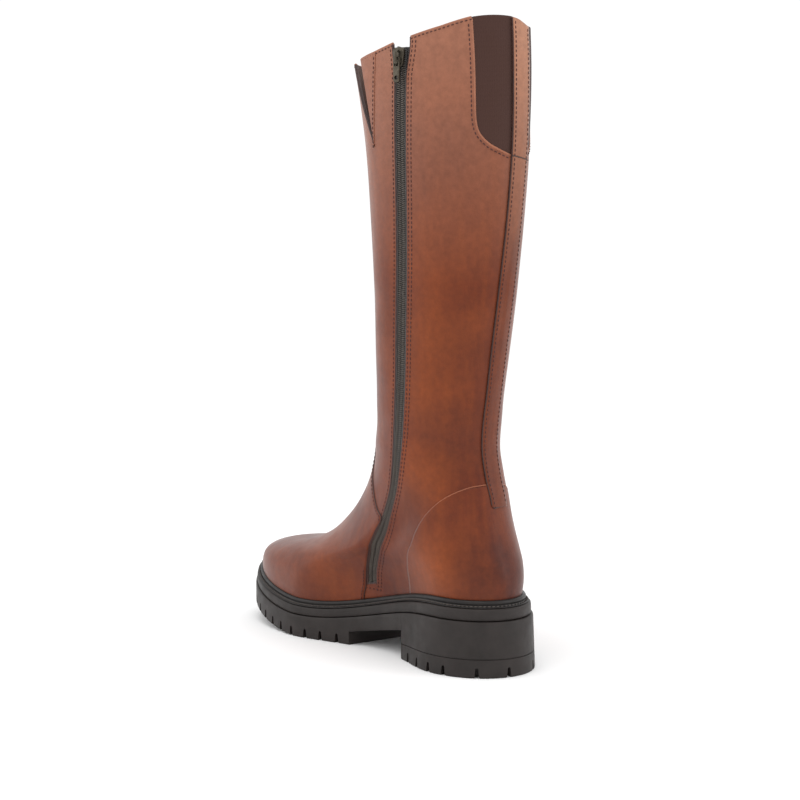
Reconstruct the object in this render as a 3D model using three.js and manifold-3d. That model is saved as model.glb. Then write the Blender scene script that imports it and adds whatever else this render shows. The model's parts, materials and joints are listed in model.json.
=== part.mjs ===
// Right knee-high boot with a medial zip, an elastic gore at the back of the collar and a
// lugged unit sole. Millimetres; +X points to the toe, +Y to the medial side, +Z up.
// The origin is on the floor under the middle of the heel block.
import * as THREE from "three";
import { mergeVertices } from "three/addons/utils/BufferGeometryUtils.js";
import Module from "manifold-3d";

const wasm = await Module();
wasm.setup();

// Driving dimensions.

const gap = 0.3; // clearance between neighbouring pieces
const wall = 2.2; // leather plus lining

const sole = {
  heelHeight: 36, // floor to the step under the rim band, at the heel
  bandHeight: 8, // rim band above the step
  ballTop: 22, // top of the band at the ball
  ballStep: 15.5, // step under the band at the ball
  toeLift: 18.5, // rise of the top from ball to toe
  toeSpring: 20, // rise of the tread from ball to toe
  wallReach: 7, // outsole wall outside the feather line
  bandReach: 6, // rim band outside the feather line
  breastX: 40, // front face of the heel block
  archHeel: 19.5, // arch height at the heel breast
  treadX: 95, // rear end of the forefoot tread
  archTread: 9, // arch height at the rear of the tread
  bandFlare: 1.2, // how far the heel end stands out more, at the rim,
  stepFlare: 1.6, // at the step
  floorFlare: 3.2, // and at the floor
};
const springX = 138; // the tread leaves the floor here
const toeX = 238; // tip of the sole
const springPower = 1.6; // how sharply it curls
const descent = { start: -2, end: 132 }; // the sole's top comes down from heel to ball

const notch = { height: 6.6, foot: 3.4, head: 1.8, depth: 8 };
const groove = { depth: 3, width: 3.2, half: 27 };
const heelNotchX = [29, 15, 1, -11];
const heelBackNotchY = [-20, 4, 23.5];
const foreNotchX = [105, 118, 130.5, 143.5, 156.5, 168.5, 181, 193, 205];
const foreGrooveX = [118, 143.5, 168.5];
const toeNotch = { y: [-11, 4, 19], middle: 4, turn: 45, retreat: 0.2 };
const notchStart = 3; // cutters begin this far outside the wall

const welt = { top: 0.5, crest: 2, foot: 5, clear: 0.4 }; // top is a place in section rows
const insole = { thick: 3, inset: 5.2 };

const slot = { width: 10, bottom: 44 }; // zip opening in the medial wall
const sides = { inner: 12, reach: 60 }; // Y range of a cutter through the medial wall only
const above = 430; // a height over the whole boot
const chain = { width: 8, proud: 0.2 };
const tape = { width: 22, thick: 0.9 };
const slider = {
  z: 392.5, clear: 0.5, width: 10, length: 12.5, corner: 2, thick: 2, // body on the chain
  bridge: 2.4, rise: 2, bar: 1.1, span: 7, foot: 1.1, // bridge that holds the pull
};
const pull = { width: 5.6, length: 15.5, thick: 1.2, rim: 1.1, window: 5, eye: 1.3, eyeRise: 2.6 };
const pullPivotDrop = 0.4; // pivot below the middle of the slider

const gore = { centreY: -4.6, half: 28.1, bottom: 331, shoulder: 358, thick: 1.5, sunk: 0.4 };
const strip = { width: 15.5, bottom: 106, proud: 1.7 };
const vNotch = { apexX: 45.5, apexZ: 338, nearX: 57.5, farX: 79, topZ: 394 };
const aroundCount = 50; // steps round the upper
const legX = 20; // the shaft twists about a vertical line here
const shortestWaist = 60; // least length over which heel width passes into ball width

// Sections of the last and leg, from the feather line to above the collar. Each lies in a
// plane through a front point and a back point; lengths run along it from the back.
const sectionColumns = [
  "frontX", "frontZ", "backX", "backZ", "heelLength", "heelHalf", "ballLength",
  "ballMedial", "ballLateral", "waist", "toeShift", "twist", "lean",
];
const sections = [
  [231, 38.9, -31, 44.3, 36, 29, 82, 47, 43, 10, 4, 0, 0],
  [228.7, 45, -32.5, 58, 39, 31, 84, 49.5, 47.5, 10, 6, 0, 0],
  [221.5, 53, -30.8, 69, 41, 33, 84, 49, 49, 8, 7, 0, 0.5],
  [202, 59, -26.8, 79, 43, 34.5, 84, 45, 48, 5, 7, 0, 1],
  [167, 64.5, -23, 90, 45, 35, 88, 41, 44, 3.5, 6, 0, 1.5],
  [146, 72, -20.2, 102, 47, 35, 100, 38, 40.5, 2.5, 4, 0, 2],
  [131, 83, -18.5, 115, 49, 34.5, 112, 36.5, 38, 1.5, 2, 0, 2.5],
  [113, 98, -15.8, 129, 51, 34, 104, 35.5, 36, 0.5, 1, 1, 3],
  [95.5, 118, -14, 144, 53, 34, 80, 35, 35, 0, 0, 2.5, 4],
  [85.5, 143, -15, 161, 54, 34, 58, 34.5, 34.5, 0, 0, 4.5, 4.5],
  [81, 174, -17.2, 182, 50, 34.5, 46, 34.5, 34.5, 0, 0, 6.5, 5],
  [80, 207, -20.6, 209, 48, 35.5, 43, 35.5, 35.5, 0, 0, 8, 5],
  [79.5, 246, -26.6, 248, 51, 37, 43, 37, 37, 0, 0, 8.5, 5],
  [81.3, 290, -32.3, 292, 58, 39, 45, 39, 39, 0, 0, 9, 5],
  [85, 335, -36, 338, 65, 41, 47, 41, 41, 0, 0, 9, 5],
  [92, 376, -37.5, 385, 70, 42.5, 50, 42.5, 42.5, 0, 0, 9, 5],
  [100, 408, -36, 428, 73, 43.5, 53, 43.5, 43.5, 0, 0, 9, 5],
];
const lastRow = sections.length - 1;
const sagRows = 7; // the feather line's curve fades out over these rows
const waistShare = { medial: 1.25, lateral: 0.75 };

// Collar height over X, and the zip's centre line over height.
const toplineColumns = ["x", "z"];
const topline = [[-60, 415.2], [-38, 415.2], [-26, 415], [-10, 409.8], [8, 405.4], [27, 401.2], [42, 397.3],
  [57, 394.3], [80, 392.5], [130, 391]];
const zipColumns = ["z", "x"];
const zipLine = [[44, 79], [56, 73], [70, 64.5], [86, 52.5], [100, 47], [118, 40.8], [142, 35], [188, 28.3],
  [246, 24.5], [304, 21.5], [374, 19], [430, 17]];

// Formulas.

const smooth = (u) => {
  const c = THREE.MathUtils.clamp(u, 0, 1);
  return c * c * (3 - 2 * c);
};

// Straight-line lookup of one column against another in a short table.
function lookup(table, columns, from, to, value) {
  const a = columns.indexOf(from);
  const b = columns.indexOf(to);
  const above = table.findIndex((row) => row[a] > value);
  const k = above < 0 ? table.length - 1 : Math.max(above, 1);
  const [low, high] = [table[k - 1], table[k]];
  const share = THREE.MathUtils.clamp((value - low[a]) / (high[a] - low[a]), 0, 1);
  return THREE.MathUtils.lerp(low[b], high[b], share);
}

const soleDrop = (x) => smooth((x - descent.start) / (descent.end - descent.start));
const toeShare = (x) => Math.max(0, (x - springX) / (toeX - springX)) ** springPower;
const soleStep = (x) =>
  THREE.MathUtils.lerp(sole.heelHeight, sole.ballStep, soleDrop(x)) + sole.toeLift * toeShare(x);
const soleTop = (x) => {
  const band = THREE.MathUtils.lerp(sole.bandHeight, sole.ballTop - sole.ballStep, soleDrop(x));
  return soleStep(x) + band;
};
const soleBottom = (x) => sole.toeSpring * toeShare(x);

// One section's named sizes at a row coordinate, by a Catmull-Rom curve through the rows.
function sizesAt(row) {
  const r = THREE.MathUtils.clamp(row, 0, lastRow);
  const i = Math.min(Math.floor(r), lastRow - 1);
  const f = r - i;
  const [b, c] = [sections[i], sections[i + 1]];
  const a = i > 0 ? sections[i - 1] : b.map((v, k) => 2 * v - c[k]);
  const d = i + 2 <= lastRow ? sections[i + 2] : c.map((v, k) => 2 * v - b[k]);
  const curve = (k) =>
    0.5 * (2 * b[k] + (c[k] - a[k]) * f + (2 * a[k] - 5 * b[k] + 4 * c[k] - d[k]) * f * f +
      (3 * b[k] - a[k] - 3 * c[k] + d[k]) * f ** 3);
  return Object.fromEntries(sectionColumns.map((name, k) => [name, curve(k)]));
}

// Half-width at a distance from the back: a round heel, a waist, a ball and a round toe.
function halfWidth(along, length, size, side, reach = 0) {
  const ball = side > 0 ? size.ballMedial : size.ballLateral;
  const dip = size.waist * (side > 0 ? waistShare.medial : waistShare.lateral);
  const heelLength = size.heelLength + reach;
  const ballLength = size.ballLength + reach;
  const room = length - heelLength - ballLength;
  const run = Math.max(room, shortestWaist);
  const u = THREE.MathUtils.clamp((along - heelLength - (room - run) / 2) / run, 0, 1);
  const middle = THREE.MathUtils.lerp(size.heelHalf, ball, smooth(u)) + reach -
    dip * 16 * u * u * (1 - u) ** 2;
  const back = THREE.MathUtils.clamp(1 - along / heelLength, 0, 1);
  const front = THREE.MathUtils.clamp(1 - (length - along) / ballLength, 0, 1);
  return middle * Math.sqrt(1 - back ** 2) * Math.sqrt(1 - front ** 2.2);
}

// Half of a section from front to back, as [distance from the back, half-width, arc share].
function halfSection(size, length, side) {
  const steps = 160;
  const points = [];
  let arc = 0;
  for (let i = 0; i <= steps; i++) {
    const along = (length * (1 + Math.cos((Math.PI * i) / steps))) / 2;
    const half = halfWidth(along, length, size, side);
    if (i) arc += Math.hypot(along - points[i - 1][0], half - points[i - 1][1]);
    points.push([along, half, arc]);
  }
  return points.map(([along, half, share]) => [along, half, share / arc]);
}
const halfColumns = ["along", "half", "share"];

// The upper's outer surface. v runs from 0 at the front to 1 (medial) or -1 (lateral) at the
// back by share of arc; row runs from 0 at the feather line to the last section.
const sectionCache = new Map();
function surfacePoint(v, row) {
  if (!sectionCache.has(row)) {
    const size = sizesAt(row);
    const length = Math.hypot(size.frontX - size.backX, size.frontZ - size.backZ);
    const halves = [halfSection(size, length, 1), halfSection(size, length, -1)];
    sectionCache.set(row, { size, length, halves });
  }
  const { size, length, halves } = sectionCache.get(row);
  const half = halves[v >= 0 ? 0 : 1];
  const along = lookup(half, halfColumns, "share", "along", Math.abs(v));
  const s = along / length;
  const width = lookup(half, halfColumns, "share", "half", Math.abs(v)) * (v >= 0 ? 1 : -1);
  const y = width + size.toeShift * s ** 4 + size.lean;
  const x = THREE.MathUtils.lerp(size.backX, size.frontX, s);
  const chord = THREE.MathUtils.lerp(sections[0][3], sections[0][1], s);
  const feather = THREE.MathUtils.lerp(sections[0][2], sections[0][0], s);
  const sag = (soleTop(feather) + gap - chord) * Math.max(0, 1 - row / sagRows) ** 1.5;
  const z = THREE.MathUtils.lerp(size.backZ, size.frontZ, s) + sag;
  const turned = new THREE.Vector2(x, y).rotateAround(
    new THREE.Vector2(legX, 0), THREE.MathUtils.degToRad(size.twist));
  return new THREE.Vector3(turned.x, turned.y, z);
}

// The surface moved along its outward normal.
function offsetPoint(v, row, distance) {
  const dv = 0.004;
  const dr = 0.04;
  const wrap = (w) => (w > 1 ? w - 2 : w < -1 ? w + 2 : w);
  const r = THREE.MathUtils.clamp(row, dr, lastRow - dr);
  const across = surfacePoint(wrap(v + dv), r).sub(surfacePoint(wrap(v - dv), r));
  const up = surfacePoint(v, r + dr).sub(surfacePoint(v, r - dr));
  const normal = across.cross(up).normalize();
  if (Math.abs(normal.z) > 0.999) normal.set(0, 0, 1);
  return surfacePoint(v, row).addScaledVector(normal, distance);
}

// Row at which the line v reaches a height, by halving.
function rowAtHeight(v, z) {
  let [low, high] = [0, lastRow];
  for (let i = 0; i < 24; i++) {
    const middle = (low + high) / 2;
    if (surfacePoint(v, middle).z < z) low = middle;
    else high = middle;
  }
  return Math.round(((low + high) / 2) * 1e4) / 1e4;
}

// v at which the medial wall has a given X at a given height, by halving.
function vAtX(x, z, side = 1) {
  let [low, high] = [0.02, 0.98];
  for (let i = 0; i < 24; i++) {
    const middle = (low + high) / 2;
    if (surfacePoint(side * middle, rowAtHeight(side * middle, z)).x > x) low = middle;
    else high = middle;
  }
  return (side * (low + high)) / 2;
}

// Making solids.

// A closed body from loops of points: each loop's first half is the outside and its second
// half the inside run backwards, so that the end caps are ladders between the halves.
function loft(loops, closed = false) {
  const n = loops[0].length;
  const positions = loops.flat().flatMap((p) => [p.x, p.y, p.z]);
  const index = [];
  const at = (i, k) => (i % loops.length) * n + (k % n);
  for (let i = 0; i < (closed ? loops.length : loops.length - 1); i++)
    for (let k = 0; k < n; k++)
      index.push(at(i, k), at(i + 1, k), at(i + 1, k + 1), at(i, k), at(i + 1, k + 1), at(i, k + 1));
  if (!closed)
    for (const [i, flip] of [[0, false], [loops.length - 1, true]])
      for (let k = 0; k < n / 2 - 1; k++) {
        const [a, b, c, d] = [at(i, k), at(i, k + 1), at(i, n - 2 - k), at(i, n - 1 - k)];
        index.push(...(flip ? [a, c, b, a, d, c] : [a, b, c, a, c, d]));
      }
  const geometry = new THREE.BufferGeometry();
  geometry.setAttribute("position", new THREE.Float32BufferAttribute(positions, 3));
  geometry.setIndex(index);
  return solid(geometry);
}

function signedVolume(positions, index) {
  const [a, b, c] = [new THREE.Vector3(), new THREE.Vector3(), new THREE.Vector3()];
  let volume = 0;
  for (let i = 0; i < index.length; i += 3) {
    a.fromArray(positions, index[i] * 3);
    b.fromArray(positions, index[i + 1] * 3);
    c.fromArray(positions, index[i + 2] * 3);
    volume += a.dot(b.cross(c)) / 6;
  }
  return volume;
}

// A three.js geometry as a manifold-3d solid, with its faces turned outwards.
function solid(geometry) {
  const bare = new THREE.BufferGeometry();
  bare.setAttribute("position", geometry.getAttribute("position"));
  bare.setIndex(geometry.getIndex());
  const merged = mergeVertices(bare, 1e-4);
  const positions = merged.attributes.position.array;
  const triVerts = new Uint32Array(merged.index.array);
  if (signedVolume(positions, triVerts) < 0) triVerts.reverse();
  return new wasm.Manifold(
    new wasm.Mesh({ numProp: 3, vertProperties: new Float32Array(positions), triVerts }));
}

// A prism: an outline of [across, up] pairs, extruded along a third direction.
function prism(outline, origin, across, up, depth) {
  const shape = new THREE.Shape(outline.map(([a, b]) => new THREE.Vector2(a, b)));
  const geometry = new THREE.ExtrudeGeometry(shape, { depth: depth, bevelEnabled: false });
  const along = new THREE.Vector3().crossVectors(across, up);
  const place = new THREE.Matrix4().makeBasis(across, up, along).setPosition(origin);
  return solid(geometry.applyMatrix4(place));
}
const axisX = new THREE.Vector3(1, 0, 0);
const axisY = new THREE.Vector3(0, 1, 0);
const axisZ = new THREE.Vector3(0, 0, 1);

// A prism of an X-Z outline that runs along +Y from y.
const prismAlongY = (outline, y, depth) =>
  prism(outline.map(([x, z]) => [-x, z]), new THREE.Vector3(0, y, 0), axisX.clone().negate(), axisZ,
    depth);

const group = new THREE.Group();
function addMesh(name, made, colour, roughness, metalness = 0) {
  const bodies = made.decompose().sort((a, b) => b.volume() - a.volume());
  const mesh = bodies[0].getMesh(); // a cut can leave crumbs
  const geometry = new THREE.BufferGeometry();
  geometry.setAttribute("position", new THREE.BufferAttribute(mesh.vertProperties, mesh.numProp));
  geometry.setIndex(new THREE.BufferAttribute(mesh.triVerts, 1));
  const material = new THREE.MeshStandardMaterial({ color: colour, roughness, metalness });
  const piece = new THREE.Mesh(geometry, material);
  piece.name = name;
  group.add(piece);
}

// Sole unit.

// Half-width of the sole at x, outside the feather line by reach.
function soleHalf(x, side, reach) {
  const size = sizesAt(0);
  const length = size.frontX - size.backX + 2 * reach;
  return halfWidth(x - size.backX + reach, length, size, side, reach);
}
const soleShift = (x) => {
  const size = sizesAt(0);
  const s = THREE.MathUtils.clamp((x - size.backX) / (size.frontX - size.backX), 0, 1);
  return size.toeShift * s ** 4;
};

// A sole point with the heel end widened about its middle by a flare.
const flareStart = { x: 52, run: 52, radius: 40 };
function flared(x, y, flare) {
  const grow = flare / flareStart.radius;
  const share = smooth((flareStart.x - x) / flareStart.run);
  return [x * (1 + (x < 0 ? grow : 0)), y * (1 + grow * share)];
}

// A plate with the sole's outline, between two heights that depend on x.
function solePlate(reach, bottom, top, lowFlare = 0, highFlare = 0) {
  const size = sizesAt(0);
  const [start, end] = [size.backX - reach, size.frontX + reach];
  const stations = [];
  const count = 64;
  for (let i = 1; i < count; i++)
    stations.push(start + ((end - start) * (1 - Math.cos((Math.PI * i) / count))) / 2);
  return loft(stations.map((x) => {
    const medial = soleShift(x) + soleHalf(x, 1, reach);
    const lateral = soleShift(x) - soleHalf(x, -1, reach);
    return [[medial, bottom, lowFlare], [medial, top, highFlare], [lateral, top, highFlare],
      [lateral, bottom, lowFlare]].map(
      ([y, height, flare]) => new THREE.Vector3(...flared(x, y, flare), height(x)));
  }));
}

// A tapered slot that opens at the floor and in the wall, cut inwards along a direction.
function notchCutter(x, y, inward) {
  const base = soleBottom(x);
  const outline = [[-notch.foot / 2, -notchStart], [notch.foot / 2, -notchStart], [notch.foot / 2, 0],
    [notch.head / 2, notch.height], [-notch.head / 2, notch.height], [-notch.foot / 2, 0]];
  const across = new THREE.Vector3().crossVectors(axisZ, inward);
  const foot = new THREE.Vector3(...flared(x, y, sole.floorFlare), base);
  const origin = foot.addScaledVector(inward, -notchStart);
  return prism(outline, origin, across, axisZ, notch.depth + notchStart);
}

function makeOutsole() {
  const size = sizesAt(0);
  let made = solePlate(sole.wallReach, soleBottom, soleStep, sole.floorFlare, sole.stepFlare);
  const arch = [[sole.breastX, -notchStart], [sole.treadX, -notchStart], [sole.treadX, sole.archTread],
    [sole.breastX, sole.archHeel]];
  made = made.subtract(prismAlongY(arch, -80, 160));
  for (const side of [1, -1]) {
    const edgeAt = (x) => side * soleHalf(x, side, sole.wallReach) + soleShift(x);
    for (const x of [...heelNotchX, ...foreNotchX]) {
      const tangent = new THREE.Vector3(2, edgeAt(x + 1) - edgeAt(x - 1), 0).normalize();
      const inward = new THREE.Vector3(tangent.y, -tangent.x, 0).multiplyScalar(side);
      made = made.subtract(notchCutter(x, edgeAt(x), inward));
    }
  }
  for (const y of heelBackNotchY) {
    const inward = new THREE.Vector3(-size.backX, -y * 1.2, 0).normalize();
    const x = size.backX - sole.wallReach * (1 - Math.abs(y) / 60) + Math.abs(y) * 0.18;
    made = made.subtract(notchCutter(x, y, inward));
  }
  const toeTip = size.frontX + sole.wallReach;
  for (const y of toeNotch.y) {
    const aside = y - toeNotch.middle;
    const inward = new THREE.Vector3(-1, -aside / toeNotch.turn, 0).normalize();
    made = made.subtract(notchCutter(toeTip - Math.abs(aside) * toeNotch.retreat, y, inward));
  }
  for (const x of foreGrooveX) {
    const roof = soleBottom(x) + groove.depth;
    const outline = [[x - groove.width / 2, -notchStart], [x + groove.width / 2, -notchStart],
      [x + groove.width / 3, roof], [x - groove.width / 3, roof]];
    made = made.subtract(prismAlongY(outline, -groove.half, 2 * groove.half));
  }
  return made;
}

addMesh("outsole", makeOutsole(), 0x3a3430, 0.6);
const bandFoot = (x) => soleStep(x) + gap;
const bandPlate = solePlate(sole.bandReach, bandFoot, soleTop, sole.bandFlare, sole.bandFlare);
addMesh("midsole_band", bandPlate, 0x3e3834, 0.55);
const insoleFoot = (x) => soleTop(x) + gap;
const insoleTop = (x) => insoleFoot(x) + insole.thick;
addMesh("insole", solePlate(-insole.inset, insoleFoot, insoleTop), 0xb9a187, 0.8);

// Welt.

function makeWelt() {
  const loops = [];
  const count = 2 * aroundCount;
  for (let j = 0; j < count; j++) {
    const v = -1 + (2 * j) / count;
    const ahead = surfacePoint(v + 0.01 > 1 ? v - 1.99 : v + 0.01, 0);
    const behind = surfacePoint(v - 0.01 < -1 ? v + 1.99 : v - 0.01, 0);
    const out = new THREE.Vector3(ahead.y - behind.y, behind.x - ahead.x, 0).normalize();
    const low = surfacePoint(v, 0).addScaledVector(out, welt.clear);
    low.z = soleTop(low.x) + gap;
    const high = surfacePoint(v, welt.top).addScaledVector(out, welt.clear);
    const foot = low.clone().addScaledVector(out, welt.foot);
    foot.z = soleTop(foot.x) + gap;
    const middle = foot.clone().setZ(THREE.MathUtils.lerp(foot.z, high.z, 0.55));
    const crest = high.clone().addScaledVector(out, welt.crest);
    loops.push([foot, middle, crest, high, low]);
  }
  return loft(loops, true);
}
addMesh("welt", makeWelt(), 0x2b2522, 0.5);

// Upper.

const upperRows = [0, 0.5, 1, 1.5, 2, 2.6, 3.2, 3.8, 4.4, 5, 5.6, 6.3, 7, 7.6, 8.2, 9, 10, 11, 12, 13,
  14, 15, 16];

// The upper's own grid lines between two v values.
const gridStep = 2 / aroundCount;
const gridLine = (from, to) => {
  const count = Math.round((to - from) / gridStep);
  return Array.from({ length: count + 1 }, (_, i) => from + i * gridStep);
};

// A region of the surface between lines of v and rows, as a body between two offsets.
// The line is run backwards so that the facets split along the same diagonals as the wall's.
function patch(line, rows, outer, inner) {
  const back = line.slice().reverse();
  return loft(rows.map((row) => [
    ...back.map((v) => offsetPoint(v, row, outer)),
    ...line.map((v) => offsetPoint(v, row, inner)),
  ]));
}

function makeWall() {
  const loops = [];
  for (let j = 0; j < aroundCount; j++) {
    const v = -1 + (2 * j) / aroundCount;
    loops.push([...upperRows.map((row) => offsetPoint(v, row, 0)),
      ...upperRows.slice().reverse().map((row) => offsetPoint(v, row, -wall))]);
  }
  return loft(loops, true);
}

// Everything above the collar line, less a drop.
const aboveTopline = (drop) => prismAlongY(
  [...topline.map(([x, z]) => [x, z - drop]), [130, above + 40], [-60, above + 40]], -90, 180);

// The gore's outline seen from behind, grown by a margin: straight sides, round shoulders.
function goreOutline(margin) {
  const half = gore.half + margin;
  const bottom = gore.bottom - margin;
  const points = [];
  for (let i = 0; i <= 16; i++) {
    const a = (Math.PI * i) / 16;
    points.push([-half * Math.cos(a), gore.shoulder - (gore.shoulder - bottom) * Math.sin(a) ** 0.8]);
  }
  return [...points, [half, above], [-half, above]];
}
const gorePrism = (margin) => prism(
  goreOutline(margin), new THREE.Vector3(-80, gore.centreY, 0), axisY, axisZ, 78);

// The zip's slot between two X offsets from its centre line, through the medial wall.
function slotPrism(width, bottom) {
  const heights = [];
  for (let z = bottom; z < above; z += 14) heights.push(z);
  heights.push(above);
  const centre = (z) => lookup(zipLine, zipColumns, "z", "x", z);
  const slant = (z) => {
    const run = (centre(z + 3) - centre(z - 3)) / 6;
    return Math.sqrt(1 + run * run);
  };
  const near = heights.map((z) => [centre(z) - (width / 2) * slant(z), z]);
  const far = heights.map((z) => [centre(z) + (width / 2) * slant(z), z]);
  return prismAlongY([...far, ...near.reverse()], sides.inner, sides.reach);
}

function makeUpper() {
  const { apexX, apexZ, nearX, farX, topZ } = vNotch;
  const grow = (above - topZ) / (topZ - apexZ);
  const open = [[apexX, apexZ], [farX + (farX - apexX) * grow, above],
    [nearX + (nearX - apexX) * grow, above]];
  const belowFeather = solePlate(sole.wallReach, soleBottom, (x) => soleTop(x) + gap);
  return makeWall()
    .subtract(belowFeather)
    .subtract(aboveTopline(0))
    .subtract(gorePrism(0))
    .subtract(slotPrism(slot.width, slot.bottom))
    .subtract(prismAlongY(open, sides.inner, sides.reach));
}
addMesh("upper", makeUpper(), 0x8a5540, 0.5);

// Gore and back strip.

const span = (from, to, count) =>
  Array.from({ length: count }, (_, i) => from + ((to - from) * i) / (count - 1));

function makeGore() {
  const line = [...span(0.72, 0.98, 9), ...span(-0.98, -0.72, 9)];
  const rows = [13.5, 14, 14.5, 15, 15.5, 16];
  return patch(line, rows, -gore.sunk, -gore.sunk - gore.thick)
    .intersect(gorePrism(-gap)).subtract(aboveTopline(-gap));
}
addMesh("gore", makeGore(), 0x4e3833, 0.85);

// Centre of the strip in Y over height.
const stripColumns = ["z", "y"];
const stripLine = [[100, -4], [112, -3.5], [126, -1.5], [153, 0], [189, -1.5], [259, -3.7], [334, -5.5],
  [420, -4.5]];

function makeStrip() {
  const rows = upperRows.filter((row) => row >= 5);
  const outline = [];
  const heights = [strip.bottom, ...span(strip.bottom + 14, above, 22)];
  const centre = (z) => lookup(stripLine, stripColumns, "z", "y", z);
  for (const z of heights) outline.push([centre(z) + strip.width / 2, z]);
  for (const z of heights.reverse()) outline.push([centre(z) - strip.width / 2, z]);
  const shape = prism(outline, new THREE.Vector3(-80, 0, 0), axisY, axisZ, 78);
  const line = [...gridLine(0.84, 1), ...gridLine(-0.96, -0.8)];
  return patch(line, rows, strip.proud, gap).intersect(shape).subtract(aboveTopline(-0.6));
}
addMesh("back_strip", makeStrip(), 0x8f5b45, 0.5);

// Zip.

function makeZipTape() {
  const line = gridLine(0.36, 0.72);
  const inner = -wall - gap;
  const band = patch(line, upperRows, inner, inner - tape.thick)
    .intersect(slotPrism(tape.width, slot.bottom - 2));
  const coil = patch(line, upperRows, -chain.proud, inner - tape.thick / 2)
    .intersect(slotPrism(chain.width, slot.bottom + 1));
  return band.add(coil).subtract(aboveTopline(3));
}
addMesh("zip_tape", makeZipTape(), 0x3a2f2a, 0.7);

// The slider and its pull share a frame on the outer surface: across, up and outwards.
const zipV = vAtX(lookup(zipLine, zipColumns, "z", "x", slider.z), slider.z);
const zipSeat = offsetPoint(zipV, rowAtHeight(zipV, slider.z), 0);
const zipOut = (() => {
  const lifted = offsetPoint(zipV, rowAtHeight(zipV, slider.z), 1).sub(zipSeat);
  return lifted.setZ(0).normalize();
})();
const zipAcross = new THREE.Vector3().crossVectors(axisZ, zipOut);

// A rounded plate in the slider's frame, from one height above the surface to another.
function zipPlate(outline, from, thick, holes = []) {
  const shape = new THREE.Shape(outline.map(([a, b]) => new THREE.Vector2(a, b)));
  shape.holes = holes;
  const geometry = new THREE.ExtrudeGeometry(shape, { depth: thick, bevelEnabled: false, curveSegments: 8 });
  const place = new THREE.Matrix4().makeBasis(zipAcross, axisZ, zipOut);
  place.setPosition(zipSeat.clone().addScaledVector(zipOut, from));
  return solid(geometry.applyMatrix4(place));
}

// Corners of a rectangle cut at 45 degrees.
const chamfered = (left, right, low, high, cut) => [
  [left + cut, low], [right - cut, low], [right, low + cut], [right, high - cut],
  [right - cut, high], [left + cut, high], [left, high - cut], [left, low + cut],
];

function makeSlider() {
  const { width, length, thick, bridge, rise, bar, foot } = slider;
  const half = slider.span / 2;
  const top = slider.clear + thick;
  const plate = chamfered(-width / 2, width / 2, -length / 2, length / 2, slider.corner);
  const base = zipPlate(plate, slider.clear, thick);
  const crown = zipPlate(chamfered(-bridge / 2, bridge / 2, -half, half, 0.4), top - gap, rise + bar + gap);
  const tunnel = zipPlate(chamfered(-bridge, bridge, foot - half, half - foot, 0.1), top, rise);
  return base.add(crown.subtract(tunnel));
}

function makePull() {
  const { width, length, thick, rim, window, eye, eyeRise } = pull;
  const level = slider.clear + slider.thick + (slider.rise - thick) / 2;
  const pivot = -pullPivotDrop;
  const outline = chamfered(-width / 2, width / 2, pivot - length, pivot + thick / 2, 0.5);
  const inner = chamfered(rim - width / 2, width / 2 - rim, pivot - window, pivot - thick / 2, 0.2);
  const hole = new THREE.Path(inner.map(([a, b]) => new THREE.Vector2(a, b)));
  const eyelet = new THREE.Path().absarc(0, pivot - length + eyeRise, eye, 0, 2 * Math.PI, true);
  return zipPlate(outline, level, thick, [hole, eyelet]);
}
addMesh("zip_slider", makeSlider(), 0x5a5754, 0.4, 0.9);
addMesh("zip_pull", makePull(), 0x5a5754, 0.4, 0.9);

export default group;
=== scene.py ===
import json
import math

import bmesh
import bpy
import numpy as np
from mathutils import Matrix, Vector


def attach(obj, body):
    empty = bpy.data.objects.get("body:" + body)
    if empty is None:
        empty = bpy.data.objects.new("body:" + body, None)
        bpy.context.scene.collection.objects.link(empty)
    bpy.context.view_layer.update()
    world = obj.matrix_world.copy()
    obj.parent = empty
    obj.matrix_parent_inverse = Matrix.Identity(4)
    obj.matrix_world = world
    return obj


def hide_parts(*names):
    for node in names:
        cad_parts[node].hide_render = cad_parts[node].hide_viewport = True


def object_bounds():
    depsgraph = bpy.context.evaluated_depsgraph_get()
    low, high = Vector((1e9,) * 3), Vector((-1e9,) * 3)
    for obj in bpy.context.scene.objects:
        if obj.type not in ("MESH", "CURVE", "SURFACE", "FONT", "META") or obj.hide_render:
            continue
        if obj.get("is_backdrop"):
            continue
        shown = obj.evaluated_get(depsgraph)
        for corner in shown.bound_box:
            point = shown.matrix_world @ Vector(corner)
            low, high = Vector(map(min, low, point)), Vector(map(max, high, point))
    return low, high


# Right knee-high boot: medial zip, elastic gore behind, lugged unit sole. Lengths here are in
# millimetres in the frame of the model; makePiece turns them into metres.
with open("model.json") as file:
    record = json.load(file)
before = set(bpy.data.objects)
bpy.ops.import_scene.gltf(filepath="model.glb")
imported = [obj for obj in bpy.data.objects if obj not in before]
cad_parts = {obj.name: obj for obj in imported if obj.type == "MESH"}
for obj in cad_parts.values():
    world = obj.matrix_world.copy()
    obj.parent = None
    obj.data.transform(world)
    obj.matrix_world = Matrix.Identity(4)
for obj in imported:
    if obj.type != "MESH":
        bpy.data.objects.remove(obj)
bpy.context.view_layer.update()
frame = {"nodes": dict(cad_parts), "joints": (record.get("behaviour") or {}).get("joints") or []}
scene = bpy.context.scene
mm = 0.001


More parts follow.
